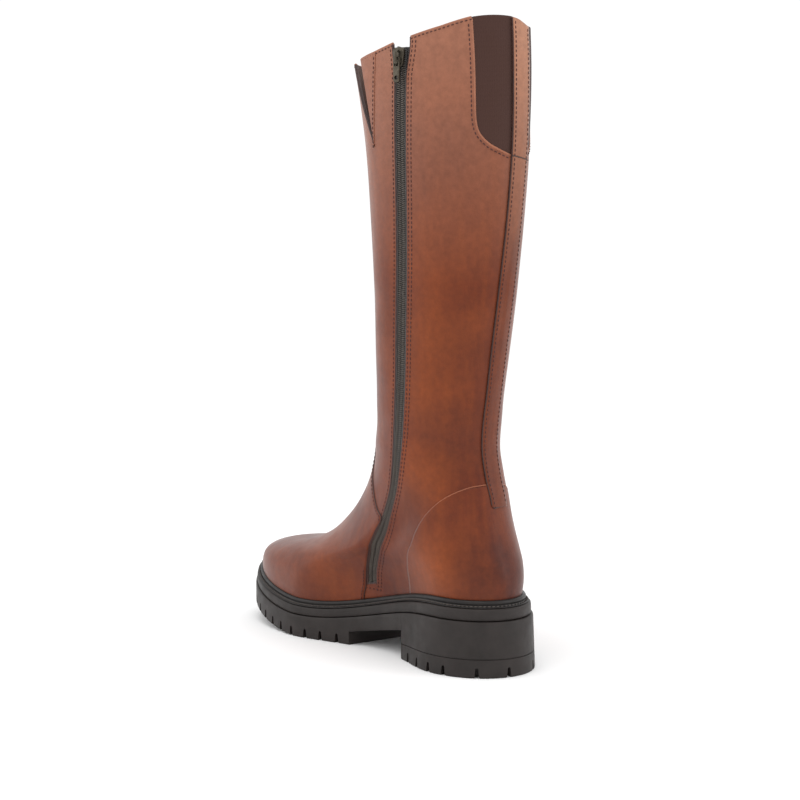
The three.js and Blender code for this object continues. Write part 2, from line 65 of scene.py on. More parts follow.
soleShape = dict(
    heelHeight=36, bandHeight=8, ballTop=22, ballStep=15.5, toeLift=18.5, toeSpring=20, springPower=1.6,
    wallReach=7, bandReach=6, weltReach=0.2, breastX=40, archHeel=19.5, treadX=95, archTread=9,
    bandFlare=1.2, stepFlare=1.6, floorFlare=3.2, flareX=52, flareRun=52, flareRadius=40,
    springX=138, toeX=238, descentStart=-2, descentEnd=132, gap=0.3, stations=150, jog=0.05,
)
lastColumns = (
    "frontX frontZ backX backZ heelLength heelHalf ballLength ballMedial ballLateral"
    " waist toeShift twist lean"
).split()
lastSections = np.array([
    [231, 38.9, -31, 44.3, 36, 29, 82, 47, 43, 10, 4, 0, 0],
    [228.7, 45, -32.5, 58, 39, 31, 84, 49.5, 47.5, 10, 6, 0, 0],
    [221.5, 53, -30.8, 69, 41, 33, 84, 49, 49, 8, 7, 0, 0.5],
    [202, 59, -26.8, 79, 43, 34.5, 84, 45, 48, 5, 7, 0, 1],
    [167, 64.5, -23, 90, 45, 35, 88, 41, 44, 3.5, 6, 0, 1.5],
    [146, 72, -20.2, 102, 47, 35, 100, 38, 40.5, 2.5, 4, 0, 2],
    [131, 83, -18.5, 115, 49, 34.5, 112, 36.5, 38, 1.5, 2, 0, 2.5],
    [113, 98, -15.8, 129, 51, 34, 104, 35.5, 36, 0.5, 1, 1, 3],
    [95.5, 118, -14, 144, 53, 34, 80, 35, 35, 0, 0, 2.5, 4],
    [85.5, 143, -15, 161, 54, 34, 58, 34.5, 34.5, 0, 0, 4.5, 4.5],
    [81, 174, -17.2, 182, 50, 34.5, 46, 34.5, 34.5, 0, 0, 6.5, 5],
    [80, 207, -20.6, 209, 48, 35.5, 43, 35.5, 35.5, 0, 0, 8, 5],
    [79.5, 246, -26.6, 248, 51, 37, 43, 37, 37, 0, 0, 8.5, 5],
    [81.3, 290, -32.3, 292, 58, 39, 45, 39, 39, 0, 0, 9, 5],
    [85, 335, -36, 338, 65, 41, 47, 41, 41, 0, 0, 9, 5],
    [92, 376, -37.5, 385, 70, 42.5, 50, 42.5, 42.5, 0, 0, 9, 5],
    [100, 408, -36, 428, 73, 43.5, 53, 43.5, 43.5, 0, 0, 9, 5],
])
lastRow = len(lastSections) - 1
legX = 20
sagRows, sagPower = 7, 1.5
shortestWaist = 60  # least length over which heel width passes into ball width
waistShare = {1: 1.25, -1: 0.75}  # medial, lateral
toePower = 2.2  # at the toe: 2 is an ellipse, more is squarer
toplineX = [-60, -38, -26, -10, 8, 27, 42, 57, 80, 130]
toplineZ = [415.2, 415.2, 415, 409.8, 405.4, 401.2, 397.3, 394.3, 392.5, 391]
# the collar drops just beside the back strip; start, width, end and recover lie along Y, fade along X
backDip = dict(depth=5, start=3, width=17, end=-24, recover=16, fade=20)


def smooth(u):
    # S-curve from 0 to 1: three times the square less twice the cube
    c = np.clip(u, 0, 1)
    return c * c * (3 - 2 * c)


def blend(a, b, share):
    return a + (b - a) * share


def descent(x):
    start, end = soleShape["descentStart"], soleShape["descentEnd"]
    return smooth((x - start) / (end - start))


def toeShare(x):
    # 0 behind the toe spring, then a power curve to 1 at the toe
    share = (x - soleShape["springX"]) / (soleShape["toeX"] - soleShape["springX"])
    return np.maximum(0, share) ** soleShape["springPower"]


def soleStep(x):
    level = blend(soleShape["heelHeight"], soleShape["ballStep"], descent(x))
    return level + soleShape["toeLift"] * toeShare(x)


def soleTop(x):
    ballBand = soleShape["ballTop"] - soleShape["ballStep"]
    return soleStep(x) + blend(soleShape["bandHeight"], ballBand, descent(x))


def soleBottom(x):
    return soleShape["toeSpring"] * toeShare(x)


def cubic(values, place):
    # Catmull-Rom curve through evenly numbered rows of values, at whole arrays of places
    i = np.clip(place.astype(int), 0, len(values) - 2)
    f = (place - i)[:, None]
    wide = np.vstack([2 * values[0] - values[1], values, 2 * values[-1] - values[-2]])
    a, b, c, d = wide[i], wide[i + 1], wide[i + 2], wide[i + 3]
    square, cube = 2 * a - 5 * b + 4 * c - d, 3 * b - a - 3 * c + d
    return 0.5 * (2 * b + (c - a) * f + square * f**2 + cube * f**3)


def sectionSizes(rows):
    found = cubic(lastSections, np.asarray(rows, float))
    return {name: found[:, [k]] for k, name in enumerate(lastColumns)}


def halfWidth(along, length, size, side, reach=0):
    # round heel, waist, ball and round toe: an S-curve from heel to ball less a dip at the waist,
    # times a quarter ellipse at the back and a squarer one at the front
    ball = size["ballMedial"] if side > 0 else size["ballLateral"]
    heelLength = size["heelLength"] + reach
    ballLength = size["ballLength"] + reach
    room = length - heelLength - ballLength
    run = np.maximum(room, shortestWaist)
    u = np.clip((along - heelLength - (room - run) / 2) / run, 0, 1)
    dip = size["waist"] * waistShare[side]
    middle = blend(size["heelHalf"], ball, smooth(u)) + reach - dip * 16 * u**2 * (1 - u) ** 2
    back = np.clip(1 - along / heelLength, 0, 1)
    front = np.clip(1 - (length - along) / ballLength, 0, 1)
    return middle * np.sqrt(1 - back**2) * np.sqrt(1 - front**toePower)


gridRows = np.linspace(0, lastRow, 481)
gridV = np.linspace(-1, 1, 801)


def lastSurface():
    # for each row: both half sections by share of arc, then laid in the row's tilted plane,
    # sagged to the sole's top near the feather line and twisted about the leg's axis
    size = sectionSizes(gridRows)
    length = np.hypot(size["frontX"] - size["backX"], size["frontZ"] - size["backZ"])
    along = length * (1 + np.cos(np.linspace(0, np.pi, 241))) / 2
    shares = np.linspace(0, 1, 401)
    alongs, halves, arcs = [], [], []
    for side in (1, -1):
        half = halfWidth(along, length, size, side)
        steps = np.hypot(np.diff(along, axis=1), np.diff(half, axis=1))
        arc = np.hstack([np.zeros((len(steps), 1)), np.cumsum(steps, axis=1)])
        arcs.append(arc[:, -1])
        arc = arc / arc[:, -1:]
        alongs.append(np.array([np.interp(shares, s, a) for s, a in zip(arc, along)]))
        halves.append(side * np.array([np.interp(shares, s, h) for s, h in zip(arc, half)]))
    along = np.hstack([alongs[1][:, :0:-1], alongs[0]])
    half = np.hstack([halves[1][:, :0:-1], halves[0]])
    s = along / length
    x = blend(size["backX"], size["frontX"], s)
    y = half + size["toeShift"] * s**4 + size["lean"]
    chord = blend(lastSections[0][3], lastSections[0][1], s)
    feather = blend(lastSections[0][2], lastSections[0][0], s)
    fade = np.maximum(0, 1 - gridRows[:, None] / sagRows) ** sagPower
    z = blend(size["backZ"], size["frontZ"], s) + (soleTop(feather) + soleShape["gap"] - chord) * fade
    turn = np.radians(size["twist"])
    turnedX = legX + (x - legX) * np.cos(turn) - y * np.sin(turn)
    turnedY = (x - legX) * np.sin(turn) + y * np.cos(turn)
    return np.stack([turnedX, turnedY, z], axis=2), np.array(arcs)


def gridNormals(points):
    wide = np.concatenate([points[:, -2:-1], points, points[:, 1:2]], axis=1)
    across = wide[:, 2:] - wide[:, :-2]
    up = np.gradient(points, axis=0)
    normal = np.cross(across, up)
    return normal / np.maximum(np.linalg.norm(normal, axis=2, keepdims=True), 1e-9)


# Soft folds of worn leather: a line between two places (v, z), how wide and how deep.
# Positive depth is a trough, negative a ridge.
folds = dict(
    lines=[
        (-0.34, 133, 0.30, 129, 7, 0.5), (-0.26, 147, 0.36, 142, 6, -0.35),
        (-0.30, 162, 0.28, 158, 9, 0.55), (-0.22, 185, 0.2, 180, 12, 0.35),
        (0.62, 150, 0.86, 141, 7, 0.4), (0.66, 168, 0.9, 162, 9, -0.35), (0.7, 190, 0.88, 186, 10, 0.3),
        (-0.62, 150, -0.86, 141, 7, 0.4), (-0.66, 168, -0.9, 160, 9, -0.35),
        (0.70, 52, 0.73, 90, 6, 0.5), (0.6, 262, 0.74, 300, 14, 0.45), (-0.5, 240, -0.7, 290, 14, 0.5),
        (0.84, 60, 0.86, 95, 6, -0.35), (0.90, 62, 0.91, 100, 5, 0.35),
        (0.26, 62, -0.2, 66, 7, 0.35), (0.24, 76, -0.2, 80, 8, -0.3),
    ],
    girth=190,
    swell=0.35,
    foot=34, top=420, run=22,  # no folds below the foot or above the top
)


def foldRelief(v, z):
    # sum of bell-shaped troughs about straight lines, with a slow swell over the whole shaft
    out = folds["swell"] * np.sin(z / 31 + 2.2 * np.sin(v * 3.1)) * np.sin(v * 7.3 + z / 67)
    across = v * folds["girth"]
    for v0, z0, v1, z1, width, depth in folds["lines"]:
        start = np.array([v0 * folds["girth"], z0])
        run = np.array([v1 * folds["girth"], z1]) - start
        share = np.clip(((across - start[0]) * run[0] + (z - start[1]) * run[1]) / (run @ run), 0, 1)
        distance = np.hypot(across - start[0] - share * run[0], z - start[1] - share * run[1])
        taper = 0.35 + 0.65 * np.sin(np.pi * share)
        out = out - depth * taper * np.exp(-((distance / width) ** 2))
    return out * smooth(np.minimum(z - folds["foot"], folds["top"] - z) / folds["run"])


bareLast, rowArcs = lastSurface()
relief = foldRelief(gridV[None, :] * np.ones((len(gridRows), 1)), bareLast[:, :, 2])
relief[:, -1] = relief[:, 0] = (relief[:, -1] + relief[:, 0]) / 2
lastGrid = bareLast + gridNormals(bareLast) * relief[:, :, None]
lastNormals = gridNormals(lastGrid)
print("last surface ready")


def sample(grid, v, row):
    # bilinear reading of a grid; v runs on past the back as v - 2
    v, row = np.broadcast_arrays(np.asarray(v, float), np.asarray(row, float))
    across = (np.mod(v + 1, 2)) / 2 * (len(gridV) - 1)
    up = np.clip(row, 0, lastRow) / lastRow * (len(gridRows) - 1)
    i = np.minimum(across.astype(int), len(gridV) - 2)
    j = np.minimum(up.astype(int), len(gridRows) - 2)
    f = (across - i)[..., None]
    g = (up - j)[..., None]
    low = grid[j, i] * (1 - f) + grid[j, i + 1] * f
    high = grid[j + 1, i] * (1 - f) + grid[j + 1, i + 1] * f
    return low * (1 - g) + high * g


def onLast(v, row, lift=0.0):
    # point of the leather's surface at v (0 front, 1 or -1 back) and a section row, lifted along the normal
    normal = outward(v, row)
    return sample(lastGrid, v, row) + normal * np.asarray(lift, float)[..., None]


def outward(v, row):
    normal = sample(lastNormals, v, row)
    return normal / np.linalg.norm(normal, axis=-1, keepdims=True)


def arcAt(v, row):
    # length in mm of a unit of v at a row
    side = np.where(np.mod(np.asarray(v) + 1, 2) >= 1, 0, 1)
    medial = np.interp(row, gridRows, rowArcs[0])
    lateral = np.interp(row, gridRows, rowArcs[1])
    return np.where(side == 0, medial, lateral)


def collarRows():
    # row at which each v meets the collar's height
    y = lastGrid[:, :, 1]
    down = smooth((backDip["start"] - y) / backDip["width"])
    dip = down * smooth((y - backDip["end"]) / backDip["recover"] + 1)
    dip = dip * smooth(-lastGrid[:, :, 0] / backDip["fade"]) * backDip["depth"]
    over = lastGrid[:, :, 2] - np.interp(lastGrid[:, :, 0], toplineX, toplineZ) + dip
    first = np.argmax(over > 0, axis=0)
    k = np.arange(len(gridV))
    low, high = over[first - 1, k], over[first, k]
    return gridRows[first - 1] + (gridRows[1] - gridRows[0]) * (-low) / (high - low)


topRows = collarRows()


def topRow(v):
    return np.interp(np.mod(np.asarray(v, float) + 1, 2) - 1, gridV, topRows)


def jacobian(v, row):
    dv, dr = 0.002, 0.02
    along = (sample(lastGrid, v + dv, row) - sample(lastGrid, v - dv, row)) / (2 * dv)
    up = (sample(lastGrid, v, row + dr) - sample(lastGrid, v, row - dr)) / (2 * dr)
    return along, up


def findPlace(first, second, axes, vRange):
    # nearest grid point by two coordinates, then Newton steps on the surface
    keep = (gridV >= vRange[0]) & (gridV <= vRange[1])
    places = lastGrid[:, keep][:, :, axes]
    target = np.column_stack([first, second]).astype(float)
    nearest = [np.argmin(((places - t) ** 2).sum(axis=2)) for t in target]
    j, i = np.unravel_index(nearest, places.shape[:2])
    v, row = gridV[keep][i], gridRows[j].copy()
    for _ in range(6):
        miss = target - sample(lastGrid, v, row)[:, axes]
        a, b = (g[:, axes] for g in jacobian(v, row))
        det = a[:, 0] * b[:, 1] - a[:, 1] * b[:, 0]
        v = v + np.clip((miss[:, 0] * b[:, 1] - miss[:, 1] * b[:, 0]) / det, -0.02, 0.02)
        row = row + np.clip((a[:, 0] * miss[:, 1] - a[:, 1] * miss[:, 0]) / det, -0.3, 0.3)
    return np.column_stack([v, row])


def fromSide(points, side=1):
    # places (v, row) of points given as x and z on the medial or lateral wall
    x, z = np.array(points, float).T
    return findPlace(x, z, [0, 2], (0.04, 0.97) if side > 0 else (-0.97, -0.04))


def fromHeights(points):
    # places of points given as v and z
    found = [(v, np.interp(z, sample(lastGrid, v, gridRows)[:, 2], gridRows)) for v, z in points]
    return np.array(found)


def fromBack(points):
    # places of points given as y and z on the back; v passes 1 on the lateral side
    y, z = np.array(points, float).T
    v = np.linspace(0.8, 1.2, 401)
    row = np.interp(z, sample(lastGrid, 1.0, gridRows)[:, 2], gridRows)
    for _ in range(3):
        ys = sample(lastGrid, v[None, :], row[:, None])[:, :, 1]
        found = np.array([np.interp(-a, -b, v) for a, b in zip(y, ys)])
        zs = sample(lastGrid, found[:, None], gridRows[None, :])[:, :, 2]
        row = np.array([np.interp(a, b, gridRows) for a, b in zip(z, zs)])
    return np.column_stack([found, row])


def evenly(line, spacing):
    # the line's places at equal steps of length, close to spacing
    points = onLast(line[:, 0], line[:, 1])
    run = np.concatenate([[0], np.cumsum(np.linalg.norm(np.diff(points, axis=0), axis=1))])
    places = np.linspace(0, run[-1], max(2, int(round(run[-1] / spacing)) + 1))
    return np.column_stack([np.interp(places, run, line[:, k]) for k in (0, 1)])


def curved(points, steps):
    # Catmull-Rom curve through the points, with steps places from each to the next
    points = np.asarray(points, float)
    return cubic(points, np.linspace(0, len(points) - 1, steps * (len(points) - 1) + 1))


def through(points, spacing=1.0):
    return evenly(curved(points, 60), spacing)


def drawn(find, points):
    # a smooth curve in millimetres laid on the surface
    return evenly(find(curved(points, 8)), 1.0)


def frameOn(line, lift=0.0):
    # points of a line on the surface with its forward, sideways and outward directions
    points = onLast(line[:, 0], line[:, 1], lift)
    forward = np.gradient(points, axis=0)
    forward /= np.linalg.norm(forward, axis=1, keepdims=True)
    normal = outward(line[:, 0], line[:, 1])
    aside = np.cross(normal, forward)
    aside /= np.linalg.norm(aside, axis=1, keepdims=True)
    return points, forward, aside, np.cross(forward, aside)


nearRim = 0.03  # rows kept from the first and last where the surface's slope is read


def shifted(line, distance):
    # the line moved sideways in its tangent plane, to the left of its direction seen from outside,
    # then brought back to the surface by least-squares steps
    points, _, aside, _ = frameOn(line)
    target = points + aside * np.asarray(distance, float).reshape(-1, 1)
    place = line.copy()
    for _ in range(4):
        a, b = jacobian(place[:, 0], np.clip(place[:, 1], nearRim, lastRow - nearRim))
        miss = target - sample(lastGrid, place[:, 0], place[:, 1])
        aa, ab, bb = (a * a).sum(1), (a * b).sum(1), (b * b).sum(1)
        am, bm = (a * miss).sum(1), (b * miss).sum(1)
        det = aa * bb - ab**2
        place = place + np.column_stack([(am * bb - bm * ab) / det, (bm * aa - am * ab) / det])
    return place


def inCollar(line, under=0.0):
    # the part of a line below the collar, under mm down the shaft
    rowStep = 34
    return line[line[:, 1] < topRow(line[:, 0]) - under / rowStep]


def edgeAt(line, t):
    # v of a line at each t, where t is the share of the way from feather line to collar
    share = line[:, 1] / topRow(line[:, 0])
    order = np.argsort(share)
    return np.interp(t, share[order], line[order, 0])


def shareAt(place):
    return float(place[1] / topRow(place[0]))


# Making meshes and materials

def gridFaces(rows, columns, closed=False):
    # quads of a grid laid out row by row, counter-clockwise with columns right and rows up
    r = np.arange(rows - 1)[:, None]
    c = np.arange(columns if closed else columns - 1)[None, :]
    right = (c + 1) % columns
    low, high = r * columns, (r + 1) * columns
    return np.stack([low + c, low + right, high + right, high + c], 2).reshape(-1, 4)


def joined(parts):
    # several (points, faces) as one; faces are lists of corner numbers
    points, faces, start = [], [], 0
    for p, f in parts:
        points.append(np.asarray(p, float).reshape(-1, 3))
        faces += [[i + start for i in g] for g in (f.tolist() if isinstance(f, np.ndarray) else f)]
        start += len(points[-1])
    return np.vstack(points), faces


burnish = dict(
    # soft spots: x, y, z, radius, strength; dark ones then glowing ones
    dark=[
        (-32, 10, 70, 24, 0.75), (-28, -10, 55, 30, 0.6), (60, 34, 45, 24, 0.45), (25, 38, 100, 22, 0.35),
        (232, 12, 40, 26, 0.55), (205, 20, 52, 24, 0.3), (-14, 30, 150, 26, 0.45), (34, 40, 225, 30, 0.3),
        (-20, 30, 205, 26, 0.25), (150, -45, 40, 30, 0.3), (-20, -20, 60, 30, 0.5), (130, 40, 36, 26, 0.35),
    ],
    bright=[
        (2, 36, 66, 26, 0.9), (14, 38, 128, 26, 0.75), (10, 40, 178, 34, 0.6), (8, 42, 215, 40, 0.55),
        (110, 36, 52, 30, 0.35), (0, -34, 70, 30, 0.6), (30, -34, 200, 60, 0.4), (4, 42, 262, 40, 0.35),
    ],
)


def softSpots(points, spots):
    out = np.zeros(len(points))
    for x, y, z, radius, strength in spots:
        away = ((points - (x, y, z)) ** 2).sum(axis=1) / radius**2
        out = np.maximum(out, strength * np.exp(-away))
    return out


def sheet(grid):
    # a grid of points as points and faces
    return grid.reshape(-1, 3), gridFaces(*grid.shape[:2])


def makePiece(name, shape, materials, body="boot", sharp=None, wall=0, welded=False):
    # a finished piece: mesh in metres, burnish attributes, an optional wall inwards, then its body;
    # shape is points and faces, materials are those of the face, the inside of the wall and the wall's rim
    points, faces = shape
    mesh = bpy.data.meshes.new(name)
    mesh.from_pydata((points * mm).tolist(), [], faces if isinstance(faces, list) else faces.tolist())
    for key, spots in burnish.items():
        mesh.attributes.new(key, "FLOAT", "POINT").data.foreach_set(
            "value", softSpots(points, spots).astype(np.float32))
    for material in materials if isinstance(materials, (list, tuple)) else [materials]:
        mesh.materials.append(material)
    piece = bpy.data.objects.new(name, mesh)
    scene.collection.objects.link(piece)
    if welded or not wall:
        work = bmesh.new()
        work.from_mesh(mesh)
        if welded:
            bmesh.ops.remove_doubles(work, verts=work.verts, dist=2e-6)
        if not wall:
            bmesh.ops.recalc_face_normals(work, faces=work.faces)
        work.to_mesh(mesh)
        work.free()
    if wall:
        thicken = piece.modifiers.new("wall", "SOLIDIFY")
        thicken.thickness = wall * mm
        thicken.offset = -1
        thicken.use_even_offset = False
        thicken.material_offset = 1 if len(mesh.materials) > 1 else 0
        thicken.material_offset_rim = 2 if len(mesh.materials) > 2 else 0
        ready = bpy.data.meshes.new_from_object(piece.evaluated_get(bpy.context.evaluated_depsgraph_get()))
        piece.modifiers.clear()
        piece.data = ready
        mesh = ready
    mesh.shade_smooth()
    if sharp:
        mesh.set_sharp_from_angle(angle=math.radians(sharp))
    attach(piece, body)
    return piece


def linear(red, green, blue):
    # a display colour of 0 to 255 as the shader's linear one
    c = np.array([red, green, blue]) / 255
    c = np.where(c < 0.04045, c / 12.92, ((c + 0.055) / 1.055) ** 2.4)
    return (*c.tolist(), 1)


class Nodes:
    # a short way to write a material's node tree
    def __init__(self, name, **sockets):
        self.material = bpy.data.materials.new(name)
        self.material.use_nodes = True
        self.tree = self.material.node_tree
        self.shader = self.tree.nodes["Principled BSDF"]
        for key, value in sockets.items():
            self.shader.inputs[key.replace("_", " ")].default_value = value
        self.place = self.add("TexCoord").outputs["Object"]

    def add(self, kind, links=None, **values):
        node = self.tree.nodes.new("ShaderNode" + kind)
        for key, value in values.items():
            setattr(node, key, value)
        for key, value in (links or {}).items():
            socket = node.inputs[key]
            if isinstance(value, bpy.types.NodeSocket):
                self.tree.links.new(value, socket)
            else:
                socket.default_value = value
        return node

    def stretched(self, scale):
        return self.add("Mapping", {"Vector": self.place, "Scale": scale}).outputs[0]

    def noise(self, scale, detail=3, rough=0.5, warp=0.0, place=None):
        links = {"Vector": place or self.place, "Scale": scale, "Detail": detail, "Roughness": rough}
        return self.add("TexNoise", {**links, "Distortion": warp}).outputs[0]

    def cells(self, scale):
        return self.add("TexVoronoi", {"Vector": self.place, "Scale": scale}).outputs[0]

    def waves(self, scale, warp, direction="Z"):
        links = {"Vector": self.place, "Scale": scale, "Distortion": warp}
        return self.add("TexWave", links, bands_direction=direction).outputs[1]

    def spread(self, value, low, high, toLow=0.0, toHigh=1.0):
        links = {"Value": value, "From Min": low, "From Max": high, "To Min": toLow, "To Max": toHigh}
        return self.add("MapRange", links).outputs[0]

    def math(self, kind, a, b):
        return self.add("Math", {0: a, 1: b}, operation=kind).outputs[0]

    def mix(self, share, a, b, kind="MIX"):
        return self.add("Mix", {0: share, 6: a, 7: b}, data_type="RGBA", blend_type=kind).outputs[2]

    def attribute(self, name):
        return self.add("Attribute", attribute_name=name).outputs["Fac"]

    def height(self):
        return self.add("SeparateXYZ", {0: self.place}).outputs[2]

    def bump(self, value, depth, strength=1.0, under=None):
        links = {"Height": value, "Distance": depth * mm, "Strength": strength}
        if under:
            links["Normal"] = under
        return self.add("Bump", links).outputs[0]

    def finish(self, **sockets):
        for key, value in sockets.items():
            self.tree.links.new(value, self.shader.inputs[key.replace("_", " ")])
        return self.material


leatherFinish = dict(
    deep=linear(88, 33, 13), middle=linear(109, 48, 20), warm=linear(140, 66, 20), dark=linear(56, 20, 14),
    # pale with paleFrom, paleTo and paleShare: painted light on the upper shaft, partly the leather's own
    # paler tone
    pale=linear(153, 102, 80), clouds=15, mottle=240, streak=120, grain=1500, pores=820, wrinkle=70,
    rough=(0.36, 0.55), paleFrom=0.25, paleTo=0.41, paleShare=0.85, dyeBelow=0, dyeFade=(-0.02, 0.008),
)


def leather(name, **changes):
    # clouds of two browns, warm streaks and glowing spots, paler up the shaft (partly painted light and
    # partly the leather's own paler tone), dark at the burnished spots, a fine mottle, and dye from the floor
    # up to dyeBelow; heights here are in metres
    palette = dict(leatherFinish, **changes)
    n = Nodes(name, Coat_Weight=0.06, Coat_Roughness=0.3, Specular_IOR_Level=0.2, Sheen_Weight=0.2,
              Sheen_Roughness=0.4)
    clouds = n.spread(n.noise(palette["clouds"], 3, 0.55, 0.7), 0.36, 0.66)
    colour = n.mix(clouds, palette["deep"], palette["middle"])
    streaks = n.noise(palette["streak"], 3, 0.6, 0.2, n.stretched((1, 1, 0.1)))
    colour = n.mix(n.spread(streaks, 0.42, 0.75, 0, 0.3), colour, palette["warm"])
    colour = n.mix(n.spread(n.attribute("bright"), 0, 1, 0, 0.85), colour, palette["warm"])
    # painted light: paler up the shaft for the light on its upper part, partly the leather's own paler tone
    paintedUpperLight = n.spread(n.height(), palette["paleFrom"], palette["paleTo"], 0, palette["paleShare"])
    colour = n.mix(paintedUpperLight, colour, palette["pale"])
    edges = n.math("MULTIPLY", n.attribute("dark"), n.spread(n.noise(55, 3, 0.6), 0.25, 0.65, 0.55, 1.15))
    colour = n.mix(edges, colour, palette["dark"])
    mottle = n.spread(n.noise(palette["mottle"], 4, 0.6), 0.3, 0.7, 0.88, 1.12)
    colour = n.mix(1.0, colour, mottle, "MULTIPLY")
    if palette["dyeBelow"]:
        low, high = (palette["dyeBelow"] + fade for fade in palette["dyeFade"])
        colour = n.mix(n.spread(n.height(), low, high, 1, 0), colour, palette["dark"])
    rough = n.spread(n.noise(48, 4, 0.6), 0.3, 0.7, *palette["rough"])
    pores = n.spread(n.cells(palette["pores"]), 0, 0.5)
    bumped = n.bump(n.noise(palette["wrinkle"], 3, 0.5, 0.4), 0.9, 0.25)
    bumped = n.bump(n.noise(palette["grain"], 3, 0.6), 0.08, 0.5, bumped)
    bumped = n.bump(pores, 0.05, 0.35, bumped)
    return n.finish(Base_Color=colour, Roughness=rough, Normal=bumped)


upperLeather = leather("burnishedLeather")
# painted highlight: pale leather along the rolled edges for the light they catch, with dark edge dye below
# 0.1 m
edgeHighlight = leather("edgeHighlight", deep=linear(140, 84, 60), middle=linear(158, 98, 70), dyeBelow=0.1)
# the strip's pale is the same painted light up the shaft, partly its own paler tone
stripLeather = leather("stripLeather", deep=linear(86, 36, 18), middle=linear(103, 50, 28),
                       pale=linear(172, 122, 96))


def plain(name, dark, light, rough, scale, grain, depth, **sockets):
    # two tones in clouds of a scale, with grain of a scale and a depth in mm in the bump
    n = Nodes(name, **sockets)
    colour = n.mix(n.spread(n.noise(scale, 4, 0.6), 0.3, 0.7), dark, light)
    roughness = n.spread(n.noise(scale * 2.3, 3), 0.3, 0.7, rough - 0.06, rough + 0.08)
    return n.finish(Base_Color=colour, Roughness=roughness, Normal=n.bump(n.noise(grain, 3, 0.6), depth, 0.6))


# dark leather edges: real edge dye, and along the zip's slot, the notch and the strip also painted shadow
edgeDyeAndShadow = plain("edgeDyeAndShadow", linear(48, 26, 21), linear(66, 36, 28), 0.5, 160, 1800, 0.05)
threadFinish = plain("threadFinish", linear(52, 18, 14), linear(74, 28, 22), 0.6, 300, 4000, 0.04)
liningLeather = plain("liningLeather", linear(70, 47, 38), linear(88, 61, 50), 0.7, 40, 1300, 0.1)
insoleLeather = plain("insoleLeather", linear(96, 70, 52), linear(118, 88, 68), 0.65, 30, 1100, 0.08)
soleRubber = plain("soleRubber", linear(33, 28, 26), linear(44, 38, 36), 0.5, 60, 2300, 0.05,
                   Specular_IOR_Level=0.3)
# near-black: the rand's own dark rubber, darkened further as painted shade in its recess
weltRubber = plain("weltRubber", linear(17, 13, 12), linear(28, 23, 21), 0.42, 90, 2000, 0.05,
                   Specular_IOR_Level=0.35)
weltThread = plain("weltThread", linear(58, 52, 49), linear(76, 69, 64), 0.7, 500, 5000, 0.05)
gunmetal = plain("gunmetal", linear(64, 59, 51), linear(90, 84, 73), 0.36, 350, 2600, 0.03, Metallic=0.9)
coilNylon = plain("coilNylon", linear(62, 54, 47), linear(84, 75, 66), 0.42, 400, 3000, 0.02)


def wovenTape():
    n = Nodes("wovenTape", Sheen_Weight=0.3, Sheen_Roughness=0.6)
    threads = n.math("MULTIPLY", n.waves(620, 0.4, direction="Z"), n.waves(620, 0.4, direction="X"))
    colour = n.mix(threads, linear(18, 12, 10), linear(34, 25, 22))
    return n.finish(Base_Color=colour, Normal=n.bump(threads, 0.12, 0.7))


def elasticWeb():
    n = Nodes("elasticWeb", Sheen_Weight=0.1, Sheen_Roughness=0.5, Roughness=0.8, Specular_IOR_Level=0.2)
    picks = n.waves(410, 0.5, direction="Z")
    fuzz = n.noise(1900, 3, 0.6)
    colour = n.mix(n.math("MULTIPLY", picks, 0.4), linear(60, 38, 32), linear(84, 57, 48))
    colour = n.mix(n.spread(n.noise(45, 3), 0.3, 0.7, 0, 0.35), colour, linear(68, 46, 42))
    return n.finish(Base_Color=colour, Normal=n.bump(fuzz, 0.06, 0.5, n.bump(picks, 0.08, 0.5)))


tapeFabric = wovenTape()
goreFabric = elasticWeb()
print("materials ready")


def patch(left, right, low, high, rows, columns, lift):
    # surface between two lines given as v at each t, from one t to another; t runs from feather to collar
    t = np.linspace(low, high, rows)[:, None]
    s = np.linspace(0, 1, columns)[None, :]
    v = blend(left(t), right(t), s)
    return onLast(v, t * topRow(v), lift(v, t) if callable(lift) else lift + 0 * v)


def sweep(points, aside, outwards, profile, closed=False):
    # a closed profile of (sideways, outwards) pairs carried along points; open paths get end caps
    profile = np.asarray(profile, float)
    ring = points[:, None] + aside[:, None] * profile[None, :, :1] + outwards[:, None] * profile[None, :, 1:]
    count, corners = ring.shape[:2]
    faces = gridFaces(count, corners, True)
    if closed:
        last = np.arange(corners) + (count - 1) * corners
        nxt = (np.arange(corners) + 1) % corners
        faces = np.vstack([faces, np.stack([last, np.roll(last, -1), nxt, np.arange(corners)], 1)])
        return ring.reshape(-1, 3), faces.tolist()
    faces = faces.tolist()
    faces.append(list(range(corners))[::-1])
    faces.append(list(range((count - 1) * corners, count * corners)))
    return ring.reshape(-1, 3), faces


def roundProfile(radius, corners=8):
    # circle as a polygon
    a = np.arange(corners) / corners * 2 * np.pi
    return radius * np.column_stack([np.cos(a), np.sin(a)])


def along(line, profile, lift=0.0):
    # a profile carried along a line on the surface
    points, _, aside, normal = frameOn(line, lift)
    return sweep(points, aside, normal, profile)


stitch = dict(pitch=2.9, length=2.1, radius=0.36, sides=6, lift=0.05)


